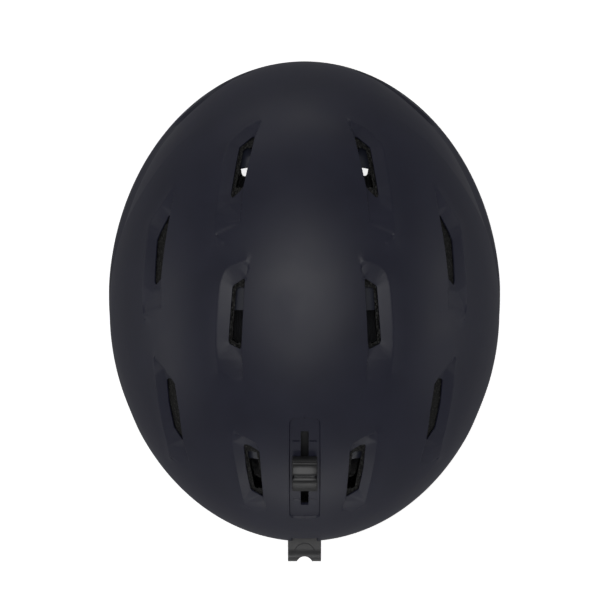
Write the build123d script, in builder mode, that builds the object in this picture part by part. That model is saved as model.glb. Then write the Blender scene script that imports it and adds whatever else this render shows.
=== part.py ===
"""Ski helmet: hybrid hard shell, sliding vent shutters, foam liner, fit dial, ear pads and chin strap.

Millimetres. +Z is up, the wearer faces -Y and the wearer's left is +X. z = 0 is the table the helmet
stands on by its ear pads. The widest level of the shell, the equator, is EQUATOR above the table.
Most shapes are layers of one egg: an ellipsoid with a deeper lower half.
"""

import os
from math import atan2, cos, degrees, radians, sin

from build123d import *

os.makedirs("parts", exist_ok=True)

# ---------------------------------------------------------------- driving dimensions
SHELL_LENGTH = 275.0
SHELL_WIDTH = 225.0
CROWN = 115.0  # crown above the equator
SKIRT = 170.0  # semi-axis of the lower half, which makes the sides tuck in slowly
EQUATOR = 115.0
CLIP_REACH = 13.0  # how far the goggle clip stands out behind the shell
CENTRE_Y = -CLIP_REACH / 2  # puts the whole helmet's box on the origin
CENTRE = Vector(0, CENTRE_Y, EQUATOR)

UPPER_WALL = 2.6
LOWER_FACE = 1.2  # the lower shell's face lies this far inside the upper shell's
LOWER_WALL_IN = 4.7
FOAM_FACE = 2.8
FOAM_FACE_LOW = 4.9
LIP = 9.0
FLANGE = 8.0

# The foam's inside, a smaller egg.
CAVITY = (85.0, 106.0, 90.0, 130.0)

# Side-view lines, (y from the shell's centre, z from the equator), front to back.
EDGE = [(-160, -12), (-100, -12), (-62, -34), (-42, -37), (-20, -25), (28, -25), (60, -42), (95, -52), (160, -52)]
PARTING = [(-160, 14), (-130, 22), (-112, 29), (-88, 24), (-60, 26), (-30, 24), (5, 8), (45, 4), (85, -4), (160, -10)]

# Vent openings on the wearer's left, seen from above, from the shell's centre:
# inner front, inner back, outer back, outer front.
TOP_VENTS = {
    "front": [(27.0, -89.5), (33.5, -61.5), (40.5, -57.0), (35.5, -84.0)],
    "middle": [(32.0, -11.5), (34.0, 26.5), (41.5, 22.5), (39.0, -8.0)],
    "rear": [(26.5, 81.5), (22.5, 108.5), (29.5, 104.0), (34.0, 79.5)],
}
SIDE_VENTS = {
    "side_front": [(74.5, -47.5), (79.5, -11.5), (83.0, -9.0), (81.0, -34.0)],
    "side_rear": [(72.5, 45.0), (67.0, 77.5), (73.0, 69.5), (76.5, 43.0)],
}
VENT_RIM = 1.9  # width of the gasket that shows round a top vent's hole
GASKET_LAYER = (2.8, 4.2)  # insets from the shell's face

# The vent shuttle turns about a lateral axis, so everything on it slides along one arc under the crown.
# Angles are measured at that axis, in degrees behind the crown.
ARC_AXIS_Z = -37.0  # from the equator
SHUTTER_LAYER = (5.1, 6.3)
GROOVE_DEPTH = 8.0
SHUTTLE_FORWARD = 8.0  # vents open
SHUTTLE_BACK = 8.2  # vents shut
SLIDER_ANGLE = 38.9
SPINE = (43.5, 47.5)  # the rail outside the top vents, across
SHUTTERS = [(29.6, -45.3, -31.3), (31.0, -14.0, 2.0), (21.5, 25.0, 37.3)]  # inner side, front, back
BRIDGE = (17.0, 20.0)
CENTRE_RAIL = 4.0
GROOVE_ROOM = 0.6

KNOB_WIDTH = 13.8
KNOB_LENGTH = 19.5
KNOB_BASE = 152.4  # from the arc's axis
KNOB_HEIGHT = 6.4
PANEL_WIDTH = 17.0
PANEL_FRONT, PANEL_BACK = 63.5, 121.0
PANEL_DEPTH = 1.1
SLOT_WIDTH = 4.4
SLOT_FRONT, SLOT_BACK = 71.5, 114.0
MARK_DEPTH = 1.6
STEM = (3.6, 5.0)  # across and along the slot

# Fit system: two bands in a tilted plane, hinged at the forehead and drawn together by racks at the nape.
RING_TILT = 19.7
RING_HINGE = (-99.0, 6.0)  # y and z from the shell's centre
BAND_HEIGHT = 14.0
BAND_WALL = 1.8
RACK_RADIUS = 207.0  # from the hinge
RACK_TIP = 9.0  # how far a rack passes the middle
RACK_ROOT = 46.0  # where it widens into the band
RACK_FACE = (3.8, 9.4)  # its teeth's tips and its far edge, above or below the pinion's axis
PINION_PITCH = 4.5
PINION_TEETH = 10
TOOTH_HEIGHT = 1.6
TOOTH_WIDTH = 1.0
DIAL_RADIUS = 14.0
DIAL_DEPTH = 9.0
HOUSING = (203.6, 211.0)  # radii about the hinge
HOUSING_ROOM = (205.5, 208.5)
HOUSING_HALF_WIDTH = 30.0
HOUSING_HALF_HEIGHT = 11.0

WEBBING = 15.0
WEBBING_WALL = 1.3
STRAP_X = 84.2
STRAP_Y = 5.0
DIVIDER_TOP, DIVIDER_BOTTOM = -85.0, -100.0  # from the equator
PAD_FACE = 85.2  # the ear pad's face towards the head
PAD_WALL = 12.0
COVER_WALL = 4.0

BUCKLE_OUT, BUCKLE_IN = 61.0, 22.0
BUCKLE_WIDTH = 22.0
HUMP_HEIGHT = 34.0

CLIP_WIDTH = 19.0
CLIP_WALL = 2.6
CLIP_AXIS = (129.2, 4.0)  # y and z from the shell's centre
CLIP_BARREL = 3.2
CLIP_NOTCH = (-10.0, 24.0)  # bottom and top, from the equator
PIN_RADIUS = 1.4
RUNNING = 0.05
GAP = 0.3


# ---------------------------------------------------------------- tools shared by the sub-parts
def egg(half_width, half_length, up, down):
    """A closed ellipsoid whose lower half is deeper, round the shell's centre."""
    with BuildPart() as solid:
        with BuildSketch(Plane.XZ):
            with BuildLine():
                EllipticalCenterArc((0, 0), half_length, up, 0, arc_size=90)
                EllipticalCenterArc((0, 0), half_length, down, -90, arc_size=90)
                Line((0, -down), (0, up))
            make_face()
        revolve(axis=Axis.Z)
        scale(by=(half_width / half_length, 1, 1))
    return CENTRE_PLACE * solid.part


def shell_egg(inset):
    return egg(SHELL_WIDTH / 2 - inset, SHELL_LENGTH / 2 - inset, CROWN - inset, SKIRT - inset)


def below(line, lift=0.0, depth=-260.0):
    """Everything under a side-view line raised by lift."""
    with BuildPart() as solid:
        with BuildSketch(Plane.YZ):
            with BuildLine():
                Spline([(y, z + lift) for y, z in line])
                Polyline((line[-1][0], line[-1][1] + lift), (line[-1][0], depth), (line[0][0], depth),
                         (line[0][0], line[0][1] + lift))
            make_face()
        extrude(amount=150, both=True)
    return CENTRE_PLACE * solid.part


def plan_prism(corners, grow=0.0, shift=0.0, side=1, low=0.0, high=140.0, rounding=1.2):
    """A vertical prism over an outline seen from above. side -1 is the wearer's right."""
    with BuildPart() as solid:
        with BuildSketch(Plane.XY.offset(low)) as outline:
            Polygon(*[(side * (x + shift), y) for x, y in corners], align=None)
            offset(amount=grow, kind=Kind.INTERSECTION)
            fillet(outline.vertices(), rounding)
        extrude(amount=high - low)
    return CENTRE_PLACE * solid.part


def vent_hole(corners, side):
    """The way through the foam: the opening less a rim on its front, outer and rear sides."""
    hole = plan_prism(corners, -VENT_RIM, side=side, rounding=0.8)
    return hole + plan_prism(corners, -VENT_RIM, shift=-VENT_RIM, side=side, rounding=0.8)


def arc_band(x_low, x_high, inset_top, inset_bottom, start, end):
    """A strip under the crown between two insets, turned about the shuttle's axis from start to end degrees."""
    with BuildPart() as solid:
        with BuildSketch(Plane.XZ):
            Ellipse(SHELL_WIDTH / 2 - inset_top, CROWN - inset_top)
            Ellipse(SHELL_WIDTH / 2 - inset_bottom, CROWN - inset_bottom, mode=Mode.SUBTRACT)
            with Locations(((x_low + x_high) / 2, CROWN / 2 + 20)):
                Rectangle(x_high - x_low, CROWN, mode=Mode.INTERSECT)
        revolve(axis=Axis((0, 0, ARC_AXIS_Z), (-1, 0, 0)), revolution_arc=end - start)
    turned = solid.part.rotate(Axis((0, 0, ARC_AXIS_Z), (-1, 0, 0)), start)
    return CENTRE_PLACE * turned


def on_arc(angle, radius):
    """The plane that touches the shuttle's arc at an angle behind the crown."""
    y = radius * sin(radians(angle))
    z = ARC_AXIS_Z + radius * cos(radians(angle))
    origin = CENTRE + Vector(0, y, z)
    return Plane(origin=origin, x_dir=(1, 0, 0), z_dir=(0, sin(radians(angle)), cos(radians(angle))))


def mirrored(part):
    return mirror(part, about=Plane.YZ)


def save(part, name):
    """Labels a finished sub-part and writes it."""
    part.label = name
    export_step(part, f"parts/{name}.step")


CENTRE_PLACE = Location(CENTRE)
outer_egg = shell_egg(0)
upper_inner_egg = shell_egg(UPPER_WALL)
lower_face_egg = shell_egg(LOWER_FACE)
lower_inner_egg = shell_egg(LOWER_WALL_IN)
foam_egg = shell_egg(FOAM_FACE)
foam_low_egg = shell_egg(FOAM_FACE_LOW)
cavity_egg = egg(*CAVITY)
below_edge = below(EDGE)
below_parting = below(PARTING)

# ---------------------------------------------------------------- cutters that several sub-parts share
def groove(x_low, x_high, start, end, side=1):
    """The room under the shell that one strip of the shuttle sweeps."""
    room = arc_band(x_low - GROOVE_ROOM, x_high + GROOVE_ROOM, 0, GROOVE_DEPTH,
                    start - SHUTTLE_FORWARD - GROOVE_ROOM, end + SHUTTLE_BACK + GROOVE_ROOM)
    return room if side > 0 else mirrored(room)


def egg_layer(outer_inset, inner_inset, x_half, y_low, y_high, z_low, z_high):
    """The part of a shell layer inside a box, the box given from the shell's centre."""
    with BuildPart() as solid:
        with Locations((0, (y_low + y_high) / 2, (z_low + z_high) / 2)):
            Box(2 * x_half, y_high - y_low, z_high - z_low)
    return (CENTRE_PLACE * solid.part) & (shell_egg(outer_inset) - shell_egg(inner_inset))


with BuildPart() as slider_panel_cut:
    with BuildSketch(Plane.XY):
        with Locations((0, (PANEL_FRONT + PANEL_BACK) / 2)):
            RectangleRounded(PANEL_WIDTH, PANEL_BACK - PANEL_FRONT, 2.5)
    extrude(amount=CROWN)
panel_cut = (CENTRE_PLACE * slider_panel_cut.part) & (outer_egg - shell_egg(PANEL_DEPTH))

with BuildPart() as slider_slot_cut:
    with BuildSketch(Plane.XY):
        with Locations((0, (SLOT_FRONT + SLOT_BACK) / 2)):
            RectangleRounded(SLOT_WIDTH, SLOT_BACK - SLOT_FRONT, 1.6)
    extrude(amount=CROWN)
slot_cut = CENTRE_PLACE * slider_slot_cut.part

with BuildPart() as slider_mark_cut:
    with BuildSketch(Plane.XY):
        with Locations((0, SLOT_FRONT + 5.5), (0, SLOT_BACK - 3.4)):
            RectangleRounded(12.0, 0.9, 0.4)
    extrude(amount=CROWN)
mark_cut = (CENTRE_PLACE * slider_mark_cut.part) & (outer_egg - shell_egg(MARK_DEPTH))

BROW_SLOT_AZIMUTH = 27.0  # from straight ahead
with BuildPart() as brow_slot_cutter:
    for side in (1, -1):
        turn = side * BROW_SLOT_AZIMUTH
        reach = Vector(0, -120.0, 25.0).rotate(Axis.Z, turn)
        with BuildSketch(Plane(origin=CENTRE + reach, x_dir=Vector(1, 0, 0).rotate(Axis.Z, turn),
                               z_dir=Vector(0, -1, 0).rotate(Axis.Z, turn))):
            SlotOverall(44.0, 6.0)
        extrude(amount=20.0, both=True)
brow_slots = brow_slot_cutter.part

CLIP_NOTCH_HALF = CLIP_WIDTH / 2 + 1.2


def notch_block(grow=0.0):
    """The window behind the helmet that the goggle clip stands in, as a solid."""
    with BuildPart() as block:
        with Locations(CENTRE + Vector(0, 137.0, sum(CLIP_NOTCH) / 2)):
            Box(2 * (CLIP_NOTCH_HALF + grow), 30.0, CLIP_NOTCH[1] - CLIP_NOTCH[0] + 2 * grow)
        fillet(block.edges().filter_by(Axis.Y), 5.0 + grow)
    return block.part


clip_notch = notch_block()

# ---------------------------------------------------------------- upper shell
all_vents = {**TOP_VENTS, **SIDE_VENTS}
with BuildPart() as upper_shell:
    add(outer_egg)
    add(upper_inner_egg, mode=Mode.SUBTRACT)
    add(below_parting, mode=Mode.SUBTRACT)
    for corners in all_vents.values():
        for side in (1, -1):
            add(plan_prism(corners, side=side), mode=Mode.SUBTRACT)
    for cutter in (panel_cut, slot_cut, mark_cut, clip_notch):
        add(cutter, mode=Mode.SUBTRACT)
save(upper_shell.part, "upper_shell")

# ---------------------------------------------------------------- lower shell, with its lip and the flange under the upper shell
lip_band = (outer_egg - lower_inner_egg) & (below(EDGE, LIP) - below_edge)
skin_band = (lower_face_egg - lower_inner_egg) & (below(PARTING, -GAP) - below_edge)
flange_band = (shell_egg(UPPER_WALL + 0.1) - lower_inner_egg) & (below(PARTING, FLANGE) - below_edge)
with BuildPart() as lower_shell:
    add(skin_band)
    add(lip_band)
    add(flange_band)
    add(brow_slots, mode=Mode.SUBTRACT)
    add(clip_notch, mode=Mode.SUBTRACT)
save(lower_shell.part, "lower_shell")

# ---------------------------------------------------------------- vent gaskets, between the upper shell and the shutters
gasket_layer = shell_egg(GASKET_LAYER[0]) - shell_egg(GASKET_LAYER[1])
with BuildPart() as vent_gaskets:
    for corners in TOP_VENTS.values():
        for side in (1, -1):
            collar = plan_prism(corners, 2.5, side=side) - vent_hole(corners, side)
            add(collar & gasket_layer)
save(vent_gaskets.part, "vent_gaskets")


# ---------------------------------------------------------------- vent shuttle: two shutters, a bridge, the slider's stem and knob
def shutter(side):
    """The rail on one side with its three vent covers."""
    with BuildPart() as piece:
        add(arc_band(*SPINE, *SHUTTER_LAYER, SHUTTERS[0][1], SHUTTERS[-1][2]))
        for x_low, start, end in SHUTTERS:
            add(arc_band(x_low, SPINE[0] + 1.0, *SHUTTER_LAYER, start, end))
    return piece.part if side > 0 else mirrored(piece.part)


save(shutter(1), "shutter_left")
save(shutter(-1), "shutter_right")

stem_radius = CROWN - SHUTTER_LAYER[0] - ARC_AXIS_Z
with BuildPart() as shutter_bridge:
    add(arc_band(-SPINE[0], SPINE[0], *SHUTTER_LAYER, *BRIDGE))
    add(arc_band(-CENTRE_RAIL, CENTRE_RAIL, *SHUTTER_LAYER, BRIDGE[0] + 1.0, SLIDER_ANGLE + 2.0))
save(shutter_bridge.part, "shutter_bridge")

with BuildPart() as slider_stem:
    with BuildSketch(on_arc(SLIDER_ANGLE, stem_radius)):
        RectangleRounded(*STEM, 1.2)
    extrude(amount=KNOB_BASE + 1.2 - stem_radius)
save(slider_stem.part, "slider_stem")

# The knob follows the arc: a thumb rib across a dished front half, and a waist.
with BuildPart() as vent_slider_knob:
    half_angle = degrees(KNOB_LENGTH / 2 / KNOB_BASE)
    with BuildSketch(Plane.YZ):
        with BuildLine():
            knob_curve = [(KNOB_BASE * sin(radians(a)), ARC_AXIS_Z + KNOB_BASE * cos(radians(a)))
                          for a in (SLIDER_ANGLE - half_angle, SLIDER_ANGLE, SLIDER_ANGLE + half_angle)]
            ThreePointArc(*knob_curve)
            crest = [(r * sin(radians(SLIDER_ANGLE + share * half_angle)),
                      ARC_AXIS_Z + r * cos(radians(SLIDER_ANGLE + share * half_angle)))
                     for share, r in ((1.0, KNOB_BASE + 2.6), (0.45, KNOB_BASE + 4.2), (-0.05, KNOB_BASE + KNOB_HEIGHT),
                                      (-0.35, KNOB_BASE + 3.2), (-0.75, KNOB_BASE + 2.4), (-1.0, KNOB_BASE + 3.0))]
            Line(knob_curve[-1], crest[0])
            Spline(*crest)
            Line(crest[-1], knob_curve[0])
        make_face()
    extrude(amount=KNOB_WIDTH / 2, both=True)
    fillet(vent_slider_knob.edges().filter_by(lambda edge: edge.length < KNOB_HEIGHT and abs(edge.center().X) > 1), 1.5)
knob_part = CENTRE_PLACE * vent_slider_knob.part - slider_stem.part
save(knob_part, "vent_slider_knob")


# ---------------------------------------------------------------- goggle clip behind the shell
with BuildPart() as clip_bracket:
    add(egg_layer(5.0, 13.0, CLIP_NOTCH_HALF + 2.8, 100, 140, CLIP_NOTCH[0] - 3, CLIP_NOTCH[1] + 3))
    add(notch_block(-GAP) & (shell_egg(3.4) - shell_egg(7.0)))
    with Locations(Location(CENTRE + Vector(0, *CLIP_AXIS), (0, 90, 0))):
        Cylinder(CLIP_BARREL + 0.8, CLIP_WIDTH + 2 * GAP, mode=Mode.SUBTRACT)
    with BuildSketch(Plane.YZ.offset(0)) as sweep_room:
        y, z = CENTRE_Y + CLIP_AXIS[0], EQUATOR + CLIP_AXIS[1]
        Polygon((y - 1.0, z - 4.0), (y + 14.0, z - 4.0), (y + 14.0, z + 26.0), (y + 3.4, z + 17.0),
                (y - 3.2, z + 2.4), align=None)
    extrude(amount=CLIP_WIDTH / 2 + GAP, both=True, mode=Mode.SUBTRACT)
    with Locations(Location(CENTRE + Vector(0, *CLIP_AXIS), (0, 90, 0))):
        Cylinder(PIN_RADIUS, 2 * CLIP_NOTCH_HALF + 8, mode=Mode.SUBTRACT)
save(clip_bracket.part, "clip_bracket")

with BuildPart() as clip_pin:
    with Locations(Location(CENTRE + Vector(0, *CLIP_AXIS), (0, 90, 0))):
        Cylinder(PIN_RADIUS, 2 * CLIP_NOTCH_HALF + 4)
save(clip_pin.part, "clip_pin")

with BuildPart() as goggle_clip:
    y, z = CENTRE_Y + CLIP_AXIS[0], EQUATOR + CLIP_AXIS[1]
    reach = SHELL_LENGTH / 2 + CLIP_REACH + CENTRE_Y - CLIP_WALL / 2
    with BuildSketch(Plane.YZ):
        with BuildLine() as clip_line:
            FilletPolyline((y, z), (reach - 2.6, z - 1.0), (reach, z - 22.0), radius=6.0)
        trace(line_width=CLIP_WALL)
        with Locations((y, z)):
            Circle(CLIP_BARREL)
            Circle(PIN_RADIUS + RUNNING, mode=Mode.SUBTRACT)
        with Locations((reach, z - 22.0)):
            Circle(CLIP_WALL / 2)
    extrude(amount=CLIP_WIDTH / 2, both=True)
    with BuildSketch(Plane.XY.offset(z - 40.0)):
        with Locations((0, reach + CLIP_WALL / 2)):
            Circle(4.3)
    extrude(amount=60.0, mode=Mode.SUBTRACT)
save(goggle_clip.part, "goggle_clip")

# ---------------------------------------------------------------- fit bands, in the ring's plane: x runs back, z is its normal
hinge_point = CENTRE + Vector(0, *RING_HINGE)
RING_BACK = Vector(0, cos(radians(RING_TILT)), -sin(radians(RING_TILT)))
RING_NORMAL = Vector(0, sin(radians(RING_TILT)), cos(radians(RING_TILT)))
ring_plane = Plane(origin=hinge_point, x_dir=RING_BACK, z_dir=RING_NORMAL)
ring_place = ring_plane.location


def polar(radius, angle):
    return (radius * cos(radians(angle)), radius * sin(radians(angle)))


def sector(inner, outer, half_width, low, high):
    """A curved slab about the hinge, round the middle of the nape, in the ring's own frame."""
    half = degrees(half_width / outer)
    with BuildPart() as slab:
        with BuildSketch(Plane.XY.offset(low)):
            with BuildLine():
                CenterArc((0, 0), inner, -half, 2 * half)
                CenterArc((0, 0), outer, -half, 2 * half)
                Line(polar(inner, half), polar(outer, half))
                Line(polar(inner, -half), polar(outer, -half))
            make_face()
        extrude(amount=high - low)
    return slab.part


root_angle = degrees(RACK_ROOT / RACK_RADIUS)
tip_angle = -degrees(RACK_TIP / RACK_RADIUS)
band_spline = [(1.9, 2.2), (21.0, 44.0), (60.0, 71.5), (105.0, 78.5), (150.0, 73.5), (184.0, 64.0),
               polar(RACK_RADIUS, root_angle)]
rack_tangent = (sin(radians(root_angle)), -cos(radians(root_angle)))


def band_path():
    return Spline(*band_spline, tangents=[(0.35, 1.0), rack_tangent])


def fit_band(upper):
    """The band on the wearer's right, whose rack runs above or below the pinion, in the ring's own frame."""
    face, far = RACK_FACE if upper else (-RACK_FACE[0], -RACK_FACE[1])
    low, high = sorted((face, far))
    turn = 1 if upper else -1
    with BuildPart() as band:
        with BuildSketch(Plane.XY.offset(-BAND_HEIGHT / 2)):
            with BuildLine():
                band_path()
            trace(line_width=BAND_WALL)
        extrude(amount=BAND_HEIGHT)
        with BuildSketch(Plane.XY.offset(low)):
            with BuildLine():
                CenterArc((0, 0), RACK_RADIUS, tip_angle, root_angle - tip_angle)
            trace(line_width=BAND_WALL)
        extrude(amount=high - low)
        knuckle_low = GAP / 2 if upper else -BAND_HEIGHT / 2
        with BuildSketch(Plane.XY.offset(knuckle_low)):
            Circle(3.4)
        extrude(amount=BAND_HEIGHT / 2 - GAP / 2)
        with BuildSketch(Plane.XY.offset(-BAND_HEIGHT / 2)):
            Circle(PIN_RADIUS + RUNNING)
        extrude(amount=BAND_HEIGHT, mode=Mode.SUBTRACT)
        clear_low = -BAND_HEIGHT / 2 if upper else GAP / 2 - GAP
        with BuildSketch(Plane.XY.offset(clear_low)):
            Circle(3.4 + 2 * GAP)
        extrude(amount=BAND_HEIGHT / 2 + GAP / 2, mode=Mode.SUBTRACT)
        pitch = 360 / PINION_TEETH * PINION_PITCH / RACK_RADIUS
        for step in range(-2, 10):
            at = step * pitch
            inner, outer = RACK_RADIUS - BAND_WALL / 2, RACK_RADIUS + BAND_WALL / 2
            half = degrees(TOOTH_WIDTH / 2 / RACK_RADIUS)
            with BuildSketch(Plane.XY.offset(min(face, face + turn * TOOTH_HEIGHT))):
                Polygon(polar(inner - 1, at - pitch / 2 + half), polar(outer + 1, at - pitch / 2 + half),
                        polar(outer + 1, at + pitch / 2 - half), polar(inner - 1, at + pitch / 2 - half), align=None)
            extrude(amount=TOOTH_HEIGHT, mode=Mode.SUBTRACT)
    return band.part


left_band = mirrored(ring_place * fit_band(True))
right_band = ring_place * fit_band(False)
save(left_band, "fit_band_left")
save(right_band, "fit_band_right")


def band_pad():
    """A strip of padding on the inner face of the band on the wearer's right."""
    with BuildPart() as pad:
        with BuildLine(mode=Mode.PRIVATE):
            path = band_path()
        inside = [path @ share + (path % share).rotate(Axis.Z, -90) * (BAND_WALL / 2 + 2.6)
                  for share in (0.07, 0.14, 0.22, 0.30, 0.38)]
        with BuildSketch(Plane.XY.offset(-BAND_HEIGHT / 2 + 0.5)):
            with BuildLine():
                Spline(*inside)
            trace(line_width=4.6)
        extrude(amount=BAND_HEIGHT - 1.0)
    return pad.part


save(mirrored(ring_place * band_pad()), "band_pad_left")
save(ring_place * band_pad(), "band_pad_right")

with BuildPart() as hinge_bracket:
    with BuildSketch(Plane.XY.offset(-BAND_HEIGHT / 2 - 2.2)):
        with Locations((-7.0, 0)):
            Rectangle(6.8, 18.0)
    extrude(amount=BAND_HEIGHT + 4.4)
    for low in (-BAND_HEIGHT / 2 - 2.2, BAND_HEIGHT / 2 + GAP):
        with BuildSketch(Plane.XY.offset(low)):
            with Locations((-1.0, 0)):
                RectangleRounded(8.0, 8.0, 1.5)
        extrude(amount=2.2 - GAP)
    with BuildSketch(Plane.XY.offset(-BAND_HEIGHT)):
        Circle(PIN_RADIUS)
    extrude(amount=2 * BAND_HEIGHT, mode=Mode.SUBTRACT)
bracket_part = (ring_place * hinge_bracket.part) & egg(*[axis - RUNNING for axis in CAVITY])
save(bracket_part, "hinge_bracket")

with BuildPart() as hinge_pin:
    with BuildSketch(Plane.XY.offset(-BAND_HEIGHT / 2 - 2.2)):
        Circle(PIN_RADIUS)
    extrude(amount=BAND_HEIGHT + 4.4)
save(ring_place * hinge_pin.part, "hinge_pin")

# ---------------------------------------------------------------- fit dial at the nape
SHAFT_RADIUS = 2.5
dial_back = HOUSING[1] + GAP + DIAL_DEPTH
with BuildPart() as dial_housing:
    add(sector(*HOUSING, HOUSING_HALF_WIDTH, -HOUSING_HALF_HEIGHT, HOUSING_HALF_HEIGHT))
    add(sector(*HOUSING_ROOM, HOUSING_HALF_WIDTH + 5, -HOUSING_HALF_HEIGHT + 1.2, HOUSING_HALF_HEIGHT - 1.2),
        mode=Mode.SUBTRACT)
    with BuildSketch(Plane.YZ.offset(HOUSING[0] - 1)):
        Circle(SHAFT_RADIUS + 0.2)
    extrude(amount=HOUSING[1] - HOUSING[0] + 2, mode=Mode.SUBTRACT)
save(ring_place * dial_housing.part, "dial_housing")

with BuildPart() as dial_pinion:
    with BuildSketch(Plane.YZ.offset(HOUSING_ROOM[0] + 0.3)):
        Circle(PINION_PITCH - 1.0)
        with PolarLocations(PINION_PITCH - 0.6, PINION_TEETH, start_angle=90):
            Rectangle(2 * TOOTH_HEIGHT - 0.6, TOOTH_WIDTH)
    extrude(amount=HOUSING_ROOM[1] - HOUSING_ROOM[0] - 0.6)
    with BuildSketch(Plane.YZ.offset(HOUSING[0] + 0.2)):
        Circle(SHAFT_RADIUS)
    extrude(amount=dial_back - 2.0 - HOUSING[0] - 0.2)
    with BuildSketch(Plane.YZ.offset(HOUSING[0] + 0.2)):
        Circle(1.3)
    extrude(amount=DIAL_DEPTH * 3, mode=Mode.SUBTRACT)
save(ring_place * dial_pinion.part, "dial_pinion")

with BuildPart() as fit_dial:
    with BuildSketch(Plane.YZ.offset(HOUSING[1] + GAP)):
        Circle(DIAL_RADIUS)
        with PolarLocations(DIAL_RADIUS + 0.5, 24):
            Circle(1.1, mode=Mode.SUBTRACT)
    extrude(amount=DIAL_DEPTH)
    fillet(fit_dial.faces().sort_by(Axis.X)[-1].edges(), 0.6)
    with BuildSketch(Plane.YZ.offset(HOUSING[1] + GAP)):
        Circle(SHAFT_RADIUS)
    extrude(amount=DIAL_DEPTH, mode=Mode.SUBTRACT)
    with BuildSketch(Plane.YZ.offset(dial_back - 2.0)):
        Circle(3.2)
    extrude(amount=DIAL_DEPTH, mode=Mode.SUBTRACT)
save(ring_place * fit_dial.part, "fit_dial")

with BuildPart() as dial_screw:
    with BuildSketch(Plane.YZ.offset(dial_back - 2.0)):
        Circle(3.0)
    extrude(amount=1.6)
    with BuildSketch(Plane.YZ.offset(HOUSING[0] + 2.0)):
        Circle(1.3)
    extrude(amount=dial_back - 2.0 - HOUSING[0] - 2.0)
save(ring_place * dial_screw.part, "dial_screw")

# ---------------------------------------------------------------- nape cradle, which hangs the dial from the foam, and its pad
def cavity_layer(outer_gap, inner_gap):
    w, l, up, down = CAVITY
    return egg(w - outer_gap, l - outer_gap, up - outer_gap, down - outer_gap) - egg(
        w - inner_gap, l - inner_gap, up - inner_gap, down - inner_gap)


def box_at(x_low, x_high, y_low, y_high, z_low, z_high):
    """A plain block, its faces given from the shell's centre."""
    with BuildPart() as block:
        with Locations(((x_low + x_high) / 2, (y_low + y_high) / 2, (z_low + z_high) / 2)):
            Box(x_high - x_low, y_high - y_low, z_high - z_low)
    return CENTRE_PLACE * block.part


housing_block = ring_place * sector(HOUSING[0], HOUSING[1], HOUSING_HALF_WIDTH + 1, -HOUSING_HALF_HEIGHT,
                                    HOUSING_HALF_HEIGHT)
cradle_layer = cavity_layer(0.3, 2.3)
with BuildPart() as rear_cradle:
    for side in (1, -1):
        add(box_at(*sorted((side * 17.0, side * 26.0)), 60, 110, -60, -16) & cradle_layer)
    add(box_at(-26, 26, 60, 110, -24, -16) & cradle_layer)
    add(housing_block, mode=Mode.SUBTRACT)
    add(box_at(-40, 40, 60, 120, -90, -56.5), mode=Mode.SUBTRACT)
save(rear_cradle.part, "rear_cradle")

with BuildPart() as nape_pad:
    add(sector(HOUSING[0] - 6.5, HOUSING[0] - 0.1, HOUSING_HALF_WIDTH, -12.5, 3.5))
save(ring_place * nape_pad.part, "nape_pad")

# ---------------------------------------------------------------- comfort pads on the foam's inside
PAD_GAPS = (0.2, 6.2)  # a comfort pad's two faces, in from the foam's inside
CROWN_PAD_HALF = [(15, 70), (15, 36), (44, 32), (45, -50), (42, -78), (32, -78), (31, -64), (15, -56)]
pad_layer = cavity_layer(*PAD_GAPS)
crown_outline = CROWN_PAD_HALF + [(-x, y) for x, y in reversed(CROWN_PAD_HALF)]
top_room = plan_prism(crown_outline, rounding=3, high=140)
with BuildPart() as crown_pad:
    add(pad_layer & top_room & box_at(-100, 100, -100, 100, 44, 120))
save(crown_pad.part, "crown_pad")

with BuildPart() as brow_pad:
    add(pad_layer & box_at(-62, 62, -120, -55, 18, 42))
save(brow_pad.part, "brow_pad")

with BuildPart() as side_pad_left:
    add(pad_layer & box_at(45, 100, -44, 46, 6, 62))
save(side_pad_left.part, "side_pad_left")
save(mirrored(side_pad_left.part), "side_pad_right")

with BuildPart() as rear_pad:
    add(pad_layer & box_at(-50, 50, 55, 120, -10, 38))
save(rear_pad.part, "rear_pad")

# ---------------------------------------------------------------- ear pads, each a soft pad with a firmer cover outside
PAD_OUTLINE = [(-41, -20), (-40, -66), (-19, -115), (37, -115), (59, -66), (60, -20)]
COVER_OUTLINE = [(-39, -20), (-38, -66), (-18, -112), (36, -112), (57, -66), (58, -20)]
SNAP_X = 91.2
SNAP_PLACES = [(-12.0, -25.5), (20.0, -24.7)]  # y and the rim's height there
under_rim = below(EDGE, -0.4)


def ear_slab(outline, x_low, wall, edge_round):
    """A slab whose top follows the shell's edge, on the wearer's left."""
    with BuildPart() as slab:
        with BuildSketch(Plane.YZ.offset(x_low)) as profile:
            Polygon(*outline, align=None)
            fillet(profile.vertices().group_by(Axis.Z)[0], 14)
        extrude(amount=wall)
        fillet(slab.faces().sort_by(Axis.X)[-1].edges().filter_by(lambda edge: edge.center().Z < -30), edge_round)
    return (CENTRE_PLACE * slab.part) & under_rim


with BuildPart() as ear_pad_left:
    add(ear_slab(PAD_OUTLINE, PAD_FACE, PAD_WALL, 2.0))
    for y, rim in SNAP_PLACES:
        with Locations(CENTRE + Vector(SNAP_X, y, rim + 2.5)):
            Cylinder(3.1, 9.6, mode=Mode.SUBTRACT)
save(ear_pad_left.part, "ear_pad_left")
save(mirrored(ear_pad_left.part), "ear_pad_right")

with BuildPart() as ear_cover_left:
    add(ear_slab(COVER_OUTLINE, PAD_FACE + PAD_WALL + 0.05, COVER_WALL, 3.0))
save(ear_cover_left.part, "ear_cover_left")
save(mirrored(ear_cover_left.part), "ear_cover_right")

with BuildPart() as ear_pad_snaps:
    for side in (1, -1):
        for y, rim in SNAP_PLACES:
            with Locations(CENTRE + Vector(side * SNAP_X, y, rim + 2.5)):
                Cylinder(3.0, 9.0)
save(ear_pad_snaps.part, "ear_pad_snaps")

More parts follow.
